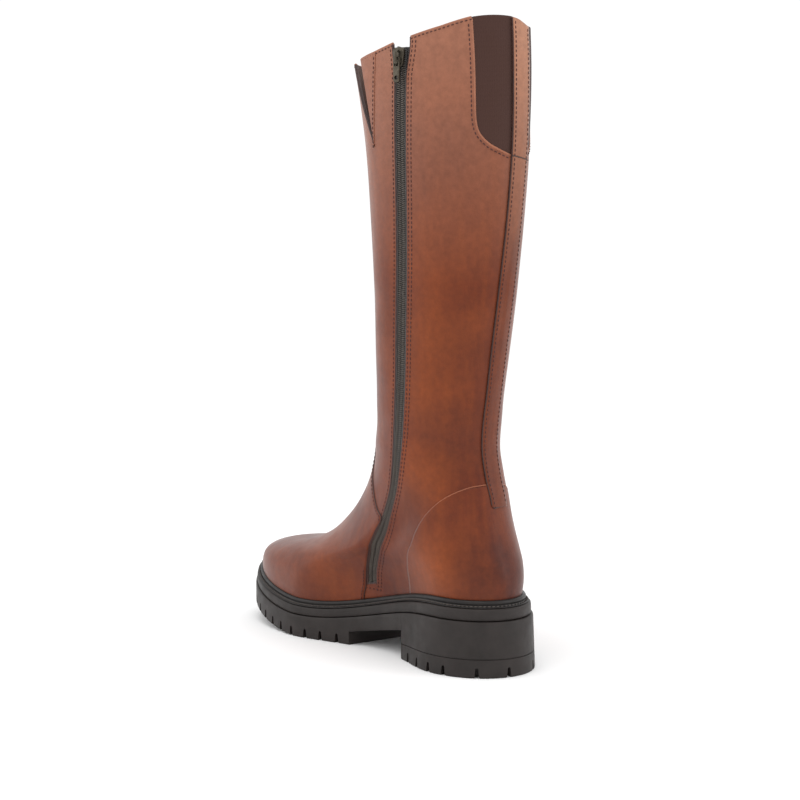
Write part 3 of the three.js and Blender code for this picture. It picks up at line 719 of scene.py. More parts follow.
def grains(points, forward, aside, normal, length, radius, slant=0.0):
    # rice-grain bodies laid head to tail: a circle whose radius swells along the stitch
    stations = np.array([-1, -0.8, -0.35, 0.35, 0.8, 1])
    swell = np.array([0.12, 0.72, 1, 1, 0.72, 0.12]) * radius
    dip = np.array([-0.6, -0.15, 0.1, 0.1, -0.15, -0.6]) * radius
    turn = np.arange(stitch["sides"]) / stitch["sides"] * 2 * np.pi
    grain = np.stack([
        np.repeat(stations * length / 2, len(turn)),
        np.outer(swell, np.cos(turn)).ravel(),
        np.outer(swell, np.sin(turn)).ravel() + np.repeat(dip, len(turn)),
    ], axis=1)
    caps = [list(range(len(turn)))[::-1], list(range(len(grain) - len(turn), len(grain)))]
    ahead = forward * math.cos(slant) + aside * math.sin(slant)
    across = np.cross(normal, ahead)
    made = (points[:, None] + ahead[:, None] * grain[None, :, :1]
            + across[:, None] * grain[None, :, 1:2] + normal[:, None] * grain[None, :, 2:])
    shift = (np.arange(len(points)) * len(grain))[:, None, None]
    sides = (gridFaces(len(stations), len(turn), True)[None] + shift).reshape(-1, 4).tolist()
    ends = (np.array(caps)[None] + shift).reshape(-1, len(turn)).tolist()
    return made.reshape(-1, 3), sides + ends


def stitches(lines, under=0.0):
    # a stitch at every pitch along the lines, on a sheet that stands under mm proud
    rows = [frameOn(evenly(line, stitch["pitch"]), under + stitch["lift"]) for line in lines]
    return joined([grains(*row, stitch["length"], stitch["radius"]) for row in rows])


# Lines on the surface

# the zip's middle and the notch's edges are given as x and z, the gore's edge as v and z, and the
# vamp's and counter's edges as v and section row
zipper = dict(
    side=[(82.5, 36), (79, 44), (73.3, 57), (63.8, 71), (54, 84.5), (46.8, 100), (40.8, 118), (35, 142),
          (28.3, 188), (24.5, 246), (21.5, 304), (19, 374), (18, 396), (17.6, 408)],
    slot=10, footSlot=7.6, narrowStart=95, narrowRun=60, flare=2.6, flareStart=378, flareRun=24,
    slotBottom=43.5, seamDrop=3, vampGap=0.3, vampRows=(1.1, 5.5), vampStep=12,
)
notch = dict(near=[(45.5, 338), (50.5, 362), (57.5, 394), (58.6, 399)],
             far=[(45.5, 338), (61.5, 365), (79, 393.5), (82, 398.5)],
             seam=[(45.5, 338), (44.5, 352), (42.8, 367), (40.3, 396.6), (40, 400)])
goreEdge = [(0.820, 421), (0.820, 390), (0.820, 362), (0.823, 351), (0.836, 344), (0.869, 338), (0.912, 334),
            (0.963, 330.6), (0.99, 330)]
vampFoot = [(0.555, 0), (0.554, 0.45)]  # below the zip, in v and section row
vampTop = [(0.522, 5.6), (0.472, 6.05), (0.429, 6.41), (0.365, 6.95), (0.303, 7.45), (0.243, 7.89),
           (0.18, 8.35), (0.134, 8.85), (0.108, 9.4), (0.092, 9.85), (0.05, 10.15), (0, 10.25)]
vampSide = [(0.555, 0), (0.554, 1.2), (0.549, 2.6), (0.535, 4.0), (0.506, 5.3)]  # on the side with no zip
counterEdge = [(0.719, 0), (0.717, 0.8), (0.718, 1.6), (0.722, 2.4), (0.723, 3.45), (0.727, 4.47),
               (0.749, 5.23), (0.789, 5.8), (0.843, 6.2), (0.909, 6.43), (0.96, 6.48), (1.0, 6.49)]
strip = dict(centre=[(-4, 106), (-3.5, 112), (-1.5, 126), (0, 153), (-1.5, 189), (-3.7, 259), (-5.5, 334),
                     (-5, 380), (-4.5, 421)], width=15.5, lift=1.5, corner=3,
             crossSeam=[(2.15, 330.5), (-13.15, 328)], seamRadius=0.4)


def pastBack(line):
    # a line on the medial side carried on over the back and down the lateral side
    return np.vstack([line, (line * (-1, 1) + (2, 0))[::-1][1:]])


def above(line, height):
    return line[onLast(line[:, 0], line[:, 1])[:, 2] >= height]


def besideSlot(distance, bottom=zipper["slotBottom"]):
    # the line at a distance outside the slot's edge, in front (+) or behind (-); the slot is narrower at the
    # foot and flares at the collar
    height = onLast(zipLine[:, 0], zipLine[:, 1])[:, 2]
    widened = smooth((height - zipper["narrowStart"]) / zipper["narrowRun"])
    half = blend(zipper["footSlot"], zipper["slot"], widened) / 2
    flare = zipper["flare"] * smooth((height - zipper["flareStart"]) / zipper["flareRun"])
    return above(shifted(zipLine, distance + np.sign(distance) * (half + flare)), bottom)


zipLine = drawn(fromSide, zipper["side"])
zipFront, zipRear = besideSlot(1e-3), besideSlot(-1e-3)
nearLine, farLine, seamLine = (drawn(fromSide, notch[key]) for key in ("near", "far", "seam"))
goreLine = through(fromHeights(goreEdge))
besideZip = besideSlot(zipper["vampGap"])
low, high = zipper["vampRows"]
besideZip = besideZip[(besideZip[:, 1] > low) & (besideZip[:, 1] < high)][:: zipper["vampStep"]]
vampLine = through(np.vstack([vampFoot, besideZip, vampTop]))
vampPath = np.vstack([vampLine, (through(vampSide + vampTop[2:]) * (-1, 1))[::-1][1:]])
counterLine = through(counterEdge)
stripLine = drawn(fromBack, strip["centre"])
slotShare = max(shareAt(zipRear[0]), shareAt(zipFront[0]))
apexShare = shareAt(nearLine[0])
goreShare = float((goreLine[:, 1] / topRow(goreLine[:, 0])).min())
tops = [float(edgeAt(line, 1)) for line in (farLine, nearLine, zipFront, zipRear)]
collarSpans = [(-goreLine[0, 0], tops[0]), (tops[1], tops[2]), (tops[3], goreLine[0, 0])]


def goreSide(side):
    return lambda t: edgeAt(goreLine * (side, 1), t)


def slotSide(line):
    # the slot's edge, and below its foot the line where both sides meet
    return lambda t: np.where(t >= slotShare, edgeAt(line, t), zipRear[0, 0])


# The shaft and foot: one leather wall with its slot, notch and gore left open

leatherWall = dict(rows=186, step=1e-4, thick=2.2)


def makeBase():
    # rows stand close together where an opening begins; each group is left line, right line, columns
    # and whether it lies behind, where it stops below the gore
    step = leatherWall["step"]
    starts = [slotShare - step, slotShare, apexShare, apexShare + 10 * step, goreShare - step, goreShare]
    t = np.unique(np.concatenate([np.linspace(0, 1, leatherWall["rows"]), starts]))
    groups = [
        (lambda t: -1 + 0 * t, goreSide(-1), 4, True),
        (goreSide(-1), lambda t: edgeAt(farLine, t), 150, False),
        (lambda t: edgeAt(nearLine, t), slotSide(zipFront), 14, False),
        (slotSide(zipRear), goreSide(1), 40, False),
        (goreSide(1), lambda t: 1 + 0 * t, 4, True),
    ]
    parts = []
    for left, right, columns, behind in groups:
        v = blend(left(t)[:, None], right(t)[:, None], np.linspace(0, 1, columns)[None, :])
        faces = gridFaces(len(t), columns)
        if behind:
            rows = int((t <= goreShare).sum()) - 1
            faces = faces[: rows * (columns - 1)]
        parts.append((onLast(v, t[:, None] * topRow(v)), faces))
    made = makePiece("upperLeather", joined(parts), [upperLeather, liningLeather, edgeDyeAndShadow],
                     wall=leatherWall["thick"], welded=True, sharp=50)
    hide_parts("upper")


def collarLine(left, right):
    # the collar's edge from one v to another
    v = np.linspace(left, right, max(12, int(abs(right - left) * 120)))
    return evenly(np.column_stack([v, topRow(v)]), 1.2)


# radius of each rolled edge and the height of its middle over the leather
rolls = dict(collarEdge=(1.0, -0.95), zipEdge=(0.75, -0.62), goreEdge=(0.7, -0.5), notchEdge=(0.62, -0.5))


def rolledEdge(name, lines, material):
    # a roll along a cut edge, sunk into the leather until its top is just proud
    radius, lift = rolls[name]
    shape = joined([along(line, roundProfile(radius, 10), lift) for line in lines])
    makePiece(name, shape, material)


def bandProfile(lift, inner):
    # rounded cut edge of a leather sheet: up from the surface, over and in
    shape = [(0, -0.35), (0, lift * 0.4), (0.08, lift * 0.72), (0.22, lift * 0.93), (0.45, lift),
             (0.75, lift - 0.04), (0.75, -0.35)]
    return [(inner * w, h) for w, h in shape]


def overlay(name, path, inner, left, right, low, high, lift, rows, columns, material, edge):
    # a sheet on the leather: a flat patch inside its rolled border; inner is 1 where the sheet lies to the
    # left of the path and -1 where it lies to the right
    flat = patch(left, right, low, high, rows, columns, lift)
    makePiece(name, sheet(flat), material, wall=lift + 0.3)
    makePiece(name + "Edge", along(path, bandProfile(lift, inner)), edge, sharp=60)


def lowHigh(line):
    share = line[:, 1] / topRow(line[:, 0])
    return float(share.min()), float(share.max())


panels = dict(vampLift=0.75, counterLift=0.6, facingLift=0.4, facingWall=0.6, facingInset=0.2, inset=0.5)


def makePanels():
    inner = shifted(vampPath, panels["inset"])
    medial, lateral = inner[inner[:, 0] >= 0], inner[inner[:, 0] <= 0]
    overlay("vamp", vampPath, 1, lambda t: edgeAt(lateral, t), lambda t: edgeAt(medial, t), 0,
            lowHigh(medial)[1], panels["vampLift"], 110, 130, upperLeather, edgeDyeAndShadow)
    path = pastBack(counterLine)
    inside = shifted(path, -panels["inset"])
    inside = inside[inside[:, 0] <= 1]
    # the counter's edge band is pale as a painted highlight
    overlay("counter", path, -1, lambda t: edgeAt(inside, t), lambda t: 2 - edgeAt(inside, t), 0,
            lowHigh(inside)[1], panels["counterLift"], 70, 80, upperLeather, edgeHighlight)
    front = shifted(nearLine, -panels["facingInset"])
    flat = patch(lambda t: edgeAt(front, t), lambda t: edgeAt(seamLine, t), apexShare, 1, 60, 10,
                 panels["facingLift"])
    makePiece("notchFacing", sheet(flat), upperLeather, wall=panels["facingWall"], sharp=50)


def makeStrip():
    left, right = (shifted(stripLine, side * strip["width"] / 2) for side in (1, -1))
    corner = strip["corner"]
    bottom = blend(left[0], right[0], np.linspace(0.12, 0.88, 6)[:, None])
    foot = np.vstack([left[corner], bottom, right[corner]])
    down, upward = inCollar(left[corner:]), inCollar(right[corner:])
    path = evenly(np.vstack([down[::-1], through(foot), upward]), 0.8)
    low = shareAt(stripLine[0]) + 0.002
    insideLeft, insideRight = shifted(left, -panels["inset"]), shifted(right, panels["inset"])
    # the strip's edge band is dark: edge dye and painted shadow
    overlay("backStrip", path, 1, lambda t: edgeAt(insideLeft, t), lambda t: edgeAt(insideRight, t), low, 1.0,
            strip["lift"], 240, 12, stripLeather, edgeDyeAndShadow)
    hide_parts("back_strip")
    seam = evenly(fromBack(strip["crossSeam"]), 1)
    shape = along(seam, roundProfile(strip["seamRadius"]), strip["lift"])
    makePiece("stripSeam", shape, edgeDyeAndShadow)
    return left, right


def makeGore():
    # ribbed webbing: a low cosine ridge every rib across the width, bowed up a little at the top
    rib = gore["rib"]
    t = np.linspace(goreShare - 0.008, 1, gore["rows"])[:, None]
    s = np.linspace(0, 1, gore["columns"])[None, :]
    v = blend(goreSide(1)(t) - gore["under"], 2 + goreSide(-1)(t) + gore["under"], s)
    place = np.abs(s - 0.5) * 2
    rise = smooth((t - gore["archFrom"]) / (1 - gore["archFrom"]))
    arch = gore["arch"] * (1 - (2 * place - 1) ** 2) * rise / gore["height"]
    ridge = gore["ridge"] * np.cos((v - 1) * arcAt(v, lastRow - 1) * 2 * np.pi / rib)
    points = onLast(v, (t + arch) * topRow(v), gore["lift"] + ridge)
    made = makePiece("goreElastic", sheet(points), goreFabric, wall=gore["wall"])
    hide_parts("gore")


gore = dict(rib=1.5, ridge=0.045, rows=70, columns=200, under=0.008, lift=-0.45, arch=0.8, archFrom=0.9,
            height=400, wall=1.2)


# distances of the stitch rows from the edges that they hold
seams = dict(zipFront=1.7, zipRear=1.6, zipOuter=4.2, zipFoot=0.1, gore=2.1, goreEnd=6, collar=1.2,
             collarEnd=0.004, facing=1.3, vamp=1.8, vampFoot=2.4, strip=2.1, top=3, stripTop=2)
vampRows = dict(zip=5.4, foot=0.3, medialFoot=1.9)  # section rows where the vamp's stitching starts and stops


def makeSeams(stripLeft, stripRight):
    top = seams["top"]
    front = besideSlot(seams["zipFront"])
    seamFoot = zipper["slotBottom"] - zipper["seamDrop"]
    rear, rearOuter = (besideSlot(-seams[key], seamFoot) for key in ("zipRear", "zipOuter"))
    foot = evenly(np.vstack([rearOuter[:1], besideSlot(seams["zipFoot"], seamFoot)[:1]]), 1)
    rows = [inCollar(line, top) for line in (front[front[:, 1] > vampTop[0][1]], rear, rearOuter)]
    rows.append(foot)
    besideGore = goreLine[: -seams["goreEnd"]]
    for side in (1, -1):
        rows.append(inCollar(shifted(besideGore * (side, 1), -side * seams["gore"]), top))
    end = seams["collarEnd"]
    rows += [shifted(collarLine(left + end, right - end), -seams["collar"]) for left, right in collarSpans]
    facing = stitches([inCollar(shifted(seamLine, seams["facing"]), top)], panels["facingLift"])
    makePiece("seamStitches", joined([stitches(rows), facing]), threadFinish)
    vamp = vampPath[np.argmax(vampPath[:, 1] > vampRows["zip"]) :]
    toe = [shifted(vamp[vamp[:, 1] > vampRows["foot"]], seams["vamp"]),
           shifted(vampLine[vampLine[:, 1] <= vampRows["medialFoot"]], seams["vampFoot"])]
    makePiece("vampStitches", stitches(toe, panels["vampLift"]), threadFinish)
    edges = [inCollar(shifted(line[4:], -side * seams["strip"]), seams["stripTop"])
             for line, side in ((stripLeft, 1), (stripRight, -1))]
    makePiece("stripStitches", stitches(edges, strip["lift"]), threadFinish)


makeBase()
makePanels()
stripLeft, stripRight = makeStrip()
makeGore()
# the collar's and the gore's rolls are pale as a painted highlight
rolledEdge("collarEdge", [collarLine(*span) for span in collarSpans], edgeHighlight)
slotFoot = np.array([[edgeAt(line, slotShare), slotShare * topRow(edgeAt(line, slotShare))]
                     for line in (zipFront, zipRear)], float).reshape(2, 2)
# painted shadow: the slot's rolled edges are dark for the shade beside the coil
rolledEdge("zipEdge", [inCollar(zipFront), inCollar(zipRear), evenly(slotFoot, 1)], edgeDyeAndShadow)
rolledEdge("goreEdge", [inCollar(goreLine), inCollar(goreLine * (-1, 1))], edgeHighlight)
# the notch's edges are dark: edge dye and painted shadow of its gap
rolledEdge("notchEdge", [inCollar(nearLine), inCollar(farLine)], edgeDyeAndShadow)
makeSeams(stripLeft, stripRight)
print("upper ready")


# Zip: tape, coil, slider and pull

tape = dict(width=19, low=-2.2, high=-1.75, crown=-1.6, crownHalf=1, foot=4, top=3, cordRadius=0.42,
            cordDrop=0.25)
coil = dict(aside=1.75, pitch=1.35, lift=-0.5, slant=0.2, length=3.7, radius=0.44, cord=3.95)


def makeZip():
    # a flat tape crowned under the coil; the coil's turns lie across it in two rows, half a pitch apart,
    # slanted to each other, with a cord outside each row
    inside = inCollar(above(zipLine, zipper["slotBottom"] - tape["foot"]), tape["top"])
    half, low, high = tape["width"] / 2, tape["low"], tape["high"]
    crown, middle = tape["crown"], tape["crownHalf"]
    section = [(-half, low), (half, low), (half, high), (middle, crown), (-middle, crown), (-half, high)]
    made = makePiece("zipTape", along(inside, section), tapeFabric, sharp=40)
    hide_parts("zip_tape")
    sides, cords = [], []
    for side in (1, -1):
        row = evenly(shifted(inside, side * coil["aside"]), coil["pitch"] / 2)[(side + 1) // 2 :: 2]
        slant = math.pi / 2 - side * coil["slant"]
        sides.append(grains(*frameOn(row, coil["lift"]), coil["length"], coil["radius"], slant))
        cord = shifted(inside, side * coil["cord"])
        cords.append(along(cord, roundProfile(tape["cordRadius"], 6), coil["lift"] - tape["cordDrop"]))
    makePiece("zipCoil", joined(sides), coilNylon)
    makePiece("zipCords", joined(cords), tapeFabric)


def plate(outline, holes, thick, bevel):
    # a flat outline with holes, thickened and with rounded rims, as points and faces in its own plane
    curve = bpy.data.curves.new("outline", "CURVE")
    curve.dimensions = "2D"
    curve.fill_mode = "BOTH"
    curve.extrude = thick / 2 - bevel
    curve.bevel_depth = bevel
    curve.bevel_resolution = 2
    curve.offset = -bevel
    for loop in [outline, *holes]:
        spline = curve.splines.new("POLY")
        spline.points.add(len(loop) - 1)
        places = np.column_stack([loop, np.zeros(len(loop)), np.ones(len(loop))])
        spline.points.foreach_set("co", places.ravel())
        spline.use_cyclic_u = True
    temporary = bpy.data.objects.new("outline", curve)
    scene.collection.objects.link(temporary)
    mesh = bpy.data.meshes.new_from_object(temporary.evaluated_get(bpy.context.evaluated_depsgraph_get()))
    points = np.zeros(len(mesh.vertices) * 3)
    mesh.vertices.foreach_get("co", points)
    faces = [list(f.vertices) for f in mesh.polygons]
    bpy.data.objects.remove(temporary)
    return points.reshape(-1, 3), faces


def roundedBox(left, right, low, high, radius, steps=6, taper=0.0):
    # rectangle with round corners; the lower end is narrower by taper on each side
    corners = [(right, high, 0), (left, high, 1), (left + taper, low, 2), (right - taper, low, 3)]
    out = []
    for x, y, quarter in corners:
        a = (quarter + np.linspace(0, 1, steps)) * np.pi / 2
        inX = x - radius if quarter in (0, 3) else x + radius
        inY = y - radius if quarter in (0, 1) else y + radius
        out.append(np.column_stack([inX + radius * np.cos(a), inY + radius * np.sin(a)]))
    return np.vstack(out)


def disc(x, y, radius, steps=20):
    # circle about a middle, as a polygon
    a = np.arange(steps) / steps * 2 * np.pi
    return np.column_stack([x + radius * np.cos(a), y + radius * np.sin(a)])


slider = dict(width=9.6, length=12.4, thick=1.7, lift=0.55, taper=1.3, corner=2.6, bevel=0.5,
              capThick=0.6, capLift=2.35, capScale=0.72, seatBack=3.5, seatUp=0.4,
              bridgeWidth=2.6, bridgeSpan=8.2, bridgeRise=2.9, bridgeFoot=2.2, bridgeHalf=0.62)
tab = dict(width=5.6, length=15.3, thick=1.25, rim=1.2, head=0.2, drop=0.4, corner=1.3, taper=0.35,
           window=5.2, windowTop=0.95, windowCorner=0.7, bevel=0.28, eye=1.25, eyeRise=2.9, ring=2.15,
           ringProud=0.35, ringBevel=0.3)


def makeSlider():
    joint = frame["joints"][0]
    pivot = np.array(joint["pos_m"]) / mm
    across = -np.array(joint["axis"], float)
    up = np.array([0, 0, 1.0])
    out = np.cross(across, up)
    seat = pivot - out * slider["seatBack"] + up * slider["seatUp"]

    def placed(points, level):
        return seat + points[:, :1] * across + points[:, 1:2] * up + (points[:, 2:] + level) * out

    half = slider["width"] / 2
    low, top = -slider["length"] / 2, slider["length"] / 2
    parts = []
    body = slider["thick"], slider["lift"] + slider["thick"] / 2, 1.0
    cap = slider["capThick"], slider["capLift"], slider["capScale"]
    for thick, level, scale in (body, cap):
        corner, taper = slider["corner"] * scale, slider["taper"] * scale
        edge = roundedBox(-half * scale, half * scale, low * scale, top * scale, corner, 8, taper)
        points, faces = plate(edge, [], thick, min(slider["bevel"], thick * 0.4))
        parts.append((placed(points, level), faces))
    turn = np.linspace(0, np.pi, 25)
    span, rise = slider["bridgeSpan"] / 2, slider["bridgeRise"]
    reach = np.sign(np.cos(turn)) * np.abs(np.cos(turn)) ** 0.6 * span
    lift = np.sin(turn) ** 0.6 * rise
    path = seat + reach[:, None] * up + (lift + slider["bridgeFoot"])[:, None] * out
    forward = np.gradient(path, axis=0)
    forward /= np.linalg.norm(forward, axis=1, keepdims=True)
    side = np.tile(across, (len(path), 1))
    circle = turn[:-1:2] * 2
    wide, high = slider["bridgeWidth"], slider["bridgeHalf"]
    profile = np.column_stack([np.cos(circle) * wide / 2, np.sin(circle) * high])
    parts.append(sweep(path, side, np.cross(forward, side), profile))
    made = makePiece("zipSlider", joined(parts), gunmetal, sharp=45)
    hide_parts("zip_slider")
    wide, rim, head, level = tab["width"] / 2, tab["rim"], tab["head"], slider["seatBack"]
    foot = -tab["drop"] - tab["length"]
    eyeAt = foot + tab["eyeRise"]
    edge = roundedBox(-wide, wide, foot, head, tab["corner"], 6, tab["taper"])
    window = roundedBox(rim - wide, wide - rim, -tab["drop"] - tab["window"], head - tab["windowTop"],
                        tab["windowCorner"], 5)
    eye = disc(0, eyeAt, tab["eye"])
    points, faces = plate(edge, [window, eye], tab["thick"], tab["bevel"])
    ring, ringFaces = plate(disc(0, eyeAt, tab["ring"], 28), [eye], tab["thick"] + tab["ringProud"],
                            tab["ringBevel"])
    parts = [(placed(points, level), faces), (placed(ring, level), ringFaces)]
    made = makePiece("zipPull", joined(parts), gunmetal, body="pull", sharp=45)
    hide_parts("zip_pull")


makeZip()
makeSlider()
print("zip ready")


# Sole: outsole with heel and tread, rim band, welt

def outline(reach, extra=()):
    # ring round the sole, counter-clockwise from the back tip, with outward directions in the plane and
    # the number of places along its length; extra places in x are added to the even ones
    size = sectionSizes([0.0])
    back, front = size["backX"][0, 0], size["frontX"][0, 0]
    length = front - back + 2 * reach
    x = back - reach + length * (1 - np.cos(np.linspace(0, np.pi, soleShape["stations"]))) / 2
    x = np.sort(np.concatenate([x, extra]))
    shift = size["toeShift"][0, 0] * np.clip((x - back) / (front - back), 0, 1) ** 4
    one = {k: v[0, 0] for k, v in size.items()}
    medial = halfWidth(x - back + reach, length, one, 1, reach) + shift
    lateral = shift - halfWidth(x - back + reach, length, one, -1, reach)
    ring = np.vstack([np.column_stack([x, lateral]), np.column_stack([x, medial])[-2:0:-1]])
    ahead = np.roll(ring, -1, axis=0) - np.roll(ring, 1, axis=0)
    normal = np.column_stack([ahead[:, 1], -ahead[:, 0]])
    return ring, normal / np.linalg.norm(normal, axis=1, keepdims=True), len(x)


def flared(points, flare):
    # the heel end widened about its middle: x behind it and y round it grow by flare over the heel's radius
    grow = np.asarray(flare, float) / soleShape["flareRadius"]
    x, y, z = points.T
    share = smooth((soleShape["flareX"] - x) / soleShape["flareRun"])
    return np.column_stack([x * (1 + grow * (x < 0)), y * (1 + grow * share), z])


def ringSolid(reach, heights, flares, extra=()):
    # rings of (outward shift, height as a function of x), closed below and above by cross strips;
    # the heel's flare passes from the first ring's to the last one's by height
    ring, normal, stations = outline(reach, extra)
    x = ring[:, 0]
    shifts = [np.asarray(d(x) if callable(d) else d, float).reshape(-1, 1) for d, _ in heights]
    levels = [np.column_stack([ring + normal * d, h(x)]) for d, (_, h) in zip(shifts, heights)]
    first, last = levels[0][:, 2], levels[-1][:, 2]
    levels = [flared(level, blend(*flares, (level[:, 2] - first) / (last - first))) for level in levels]
    points = np.vstack(levels)
    faces = gridFaces(len(levels), len(ring), True).tolist()
    i = np.arange(stations - 1)
    j = (len(ring) - i) % len(ring)
    cap = np.stack([i, j, (len(ring) - i - 1) % len(ring), i + 1], 1)
    top = (len(levels) - 1) * len(ring)
    faces += [list(dict.fromkeys(f)) for f in cap.tolist()]  # the end strips are triangles
    faces += [list(dict.fromkeys(f))[::-1] for f in (cap + top).tolist()]
    return points, faces


tread = dict(
    heelX=[29, 15, 1, -11], backY=[-20, 4, 23.5], toeY=[-11, 4, 19], toeMiddle=4,
    foreX=[105, 118, 130.5, 143.5, 156.5, 168.5, 181, 193, 205], height=6.6, foot=3.4, head=1.8, depth=8,
    over=3, shoulder=0.5, grooveX=[118, 143.5, 168.5], grooveDepth=3, grooveWidth=3.2, grooveHalf=27,
    liftLine=12.1, liftGroove=0.5,
)


def soleUnder(x):
    # tread height: heel and forefoot on the floor, a straight arch between them, then the toe spring
    share = (x - soleShape["breastX"]) / (soleShape["treadX"] - soleShape["breastX"])
    arch = blend(soleShape["archHeel"], soleShape["archTread"], share)
    return np.where((share > 0) & (share < 1), arch, soleBottom(x))


def wedge(x, y, inward, base):
    # tapered notch open to the floor and the wall, as a closed prism
    inward = np.array([*inward, 0.0]) / np.hypot(*inward)
    across = np.cross([0, 0, 1.0], inward)
    f, h, top, over = tread["foot"] / 2, tread["head"] / 2, tread["height"], tread["over"]
    shoulder = top - tread["shoulder"]
    section = [(-f, -over), (f, -over), (f, 0), (h * 1.05, shoulder), (h * 0.5, top)]
    section += [(-h * 0.5, top), (-h * 1.05, shoulder), (-f, 0)]
    start = np.array([x, y, base]) - inward * over
    near = [start + a * across + np.array([0, 0, b]) for a, b in section]
    far = [p + inward * (tread["depth"] + over) for p in near]
    return np.array(near + far), prismFaces(len(section))


def prismFaces(n):
    # a prism of n corners at its near end and n at its far end
    sides = [[i, (i + 1) % n, (i + 1) % n + n, i + n] for i in range(n)]
    return sides + [list(range(n))[::-1], list(range(n, 2 * n))]


def treadCutters():
    ring, normal, stations = outline(soleShape["wallReach"])
    lateral, medial = ring[:stations], ring[stations:][::-1]
    outLateral, outMedial = normal[:stations], normal[stations:][::-1]
    parts = []
    for x in tread["heelX"] + tread["foreX"]:
        for edge, out in ((lateral, outLateral), (medial, outMedial)):
            y = np.interp(x, edge[:, 0], edge[:, 1])
            inward = [-np.interp(x, edge[:, 0], out[:, k]) for k in (0, 1)]
            foot = flared(np.array([[x, y, float(soleBottom(x))]]), soleShape["floorFlare"])[0]
            parts.append(wedge(foot[0], foot[1], inward, foot[2]))
    back = ring[0, 0]
    for y in tread["backY"]:
        x = back + 7 * abs(y) / 60 + abs(y) * 0.18
        foot = flared(np.array([[x, y, 0.0]]), soleShape["floorFlare"])[0]
        parts.append(wedge(foot[0], foot[1], (-back - 7, -y * 1.2), 0))
    front = ring[:, 0].max()
    for y in tread["toeY"]:
        aside = y - tread["toeMiddle"]
        parts.append(wedge(front - abs(aside) * 0.2, y, (-1, -aside / 45), float(soleBottom(front))))
    for x in tread["grooveX"]:
        w, roof = tread["grooveWidth"], float(soleBottom(x)) + tread["grooveDepth"]
        over = tread["over"]
        section = [(x - w / 2, -over), (x + w / 2, -over), (x + w / 3, roof), (x - w / 3, roof)]
        points = [(a, side * tread["grooveHalf"], b) for side in (-1, 1) for a, b in section]
        parts.append((np.array(points, float), prismFaces(4)))
    return joined(parts)


rounding = dict(low=0.9, high=1.7)  # heights of the wall's rounded foot and head


def between(share):
    # height at a share of the way up the outsole's wall, as a function of x
    return lambda x: blend(soleUnder(x) + rounding["low"], soleStep(x) - rounding["high"], share)


def heelOnly(depth):
    # sunk by depth behind the breast, flush in front of it
    return lambda x: -depth * (x < soleShape["breastX"])


def makeOutsole():
    # the wall from floor to step line, rounded at both, with the heel lift's groove round the heel
    jog = np.array([-1, 1]) * soleShape["jog"]
    extra = np.concatenate([soleShape["breastX"] + jog, soleShape["treadX"] + jog])
    wallHeight = soleShape["heelHeight"] - rounding["low"] - rounding["high"]
    line = (tread["liftLine"] - rounding["low"]) / wallHeight
    groove = heelOnly(tread["liftGroove"])
    rings = [
        (-1.0, soleUnder), (-0.3, lambda x: soleUnder(x) + 0.25), (0, between(0)),
        (0, between(line - 0.012)), (groove, between(line - 0.004)), (groove, between(line + 0.004)),
        (0, between(line + 0.012)), (0, between(0.55)), (0, between(0.8)), (0, between(1)),
        (-0.12, lambda x: soleStep(x) - 0.8), (-0.45, lambda x: soleStep(x) - 0.15), (-1.2, soleStep),
    ]
    flares = soleShape["floorFlare"], soleShape["stepFlare"]
    shape = ringSolid(soleShape["wallReach"], rings, flares, extra)
    made = makePiece("outsoleUnit", shape, soleRubber)
    knife = makePiece("knife", treadCutters(), soleRubber)
    cut = made.modifiers.new("notches", "BOOLEAN")
    cut.operation, cut.solver, cut.object = "DIFFERENCE", "EXACT", knife
    ready = bpy.data.meshes.new_from_object(made.evaluated_get(bpy.context.evaluated_depsgraph_get()))
    made.modifiers.clear()
    made.data = ready
    bpy.data.objects.remove(knife)
    ready.shade_smooth()
    ready.set_sharp_from_angle(angle=math.radians(38))
    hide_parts("outsole")


def makeBand():
    gap = soleShape["gap"]
    rings = [
        (-1.1, lambda x: soleStep(x) + gap), (-0.35, lambda x: soleStep(x) + gap + 0.12),
        (0, lambda x: soleStep(x) + gap + 0.6), (0.05, lambda x: blend(soleStep(x), soleTop(x), 0.45)),
        (-0.05, lambda x: blend(soleStep(x), soleTop(x), 0.72)), (-0.3, lambda x: soleTop(x) - 0.85),
        (-0.75, lambda x: soleTop(x) - 0.3), (-1.5, lambda x: soleTop(x) - 0.02), (-3.2, soleTop),
    ]
    shape = ringSolid(soleShape["bandReach"], rings, (soleShape["bandFlare"], soleShape["bandFlare"]))
    made = makePiece("rimBand", shape, soleRubber, sharp=60)
    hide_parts("midsole_band")


welt = dict(
    profile=[(0.3, 0.25), (4.9, 0.25), (5.3, 0.5), (5.2, 0.85), (4.7, 1.05), (4.0, 0.95), (3.4, 1.1),
             (2.95, 1.6), (3.1, 2.2), (3.45, 2.9), (3.4, 3.7), (2.95, 4.4), (2.2, 4.8), (1.4, 4.85),
             (0.7, 4.6), (0.3, 4.2)],
    spacing=1.5, middle=3, stitchAside=4.05, stitchHeight=1.25, pitch=2.5, length=2.35, radius=0.5,
    slant=0.35,
)


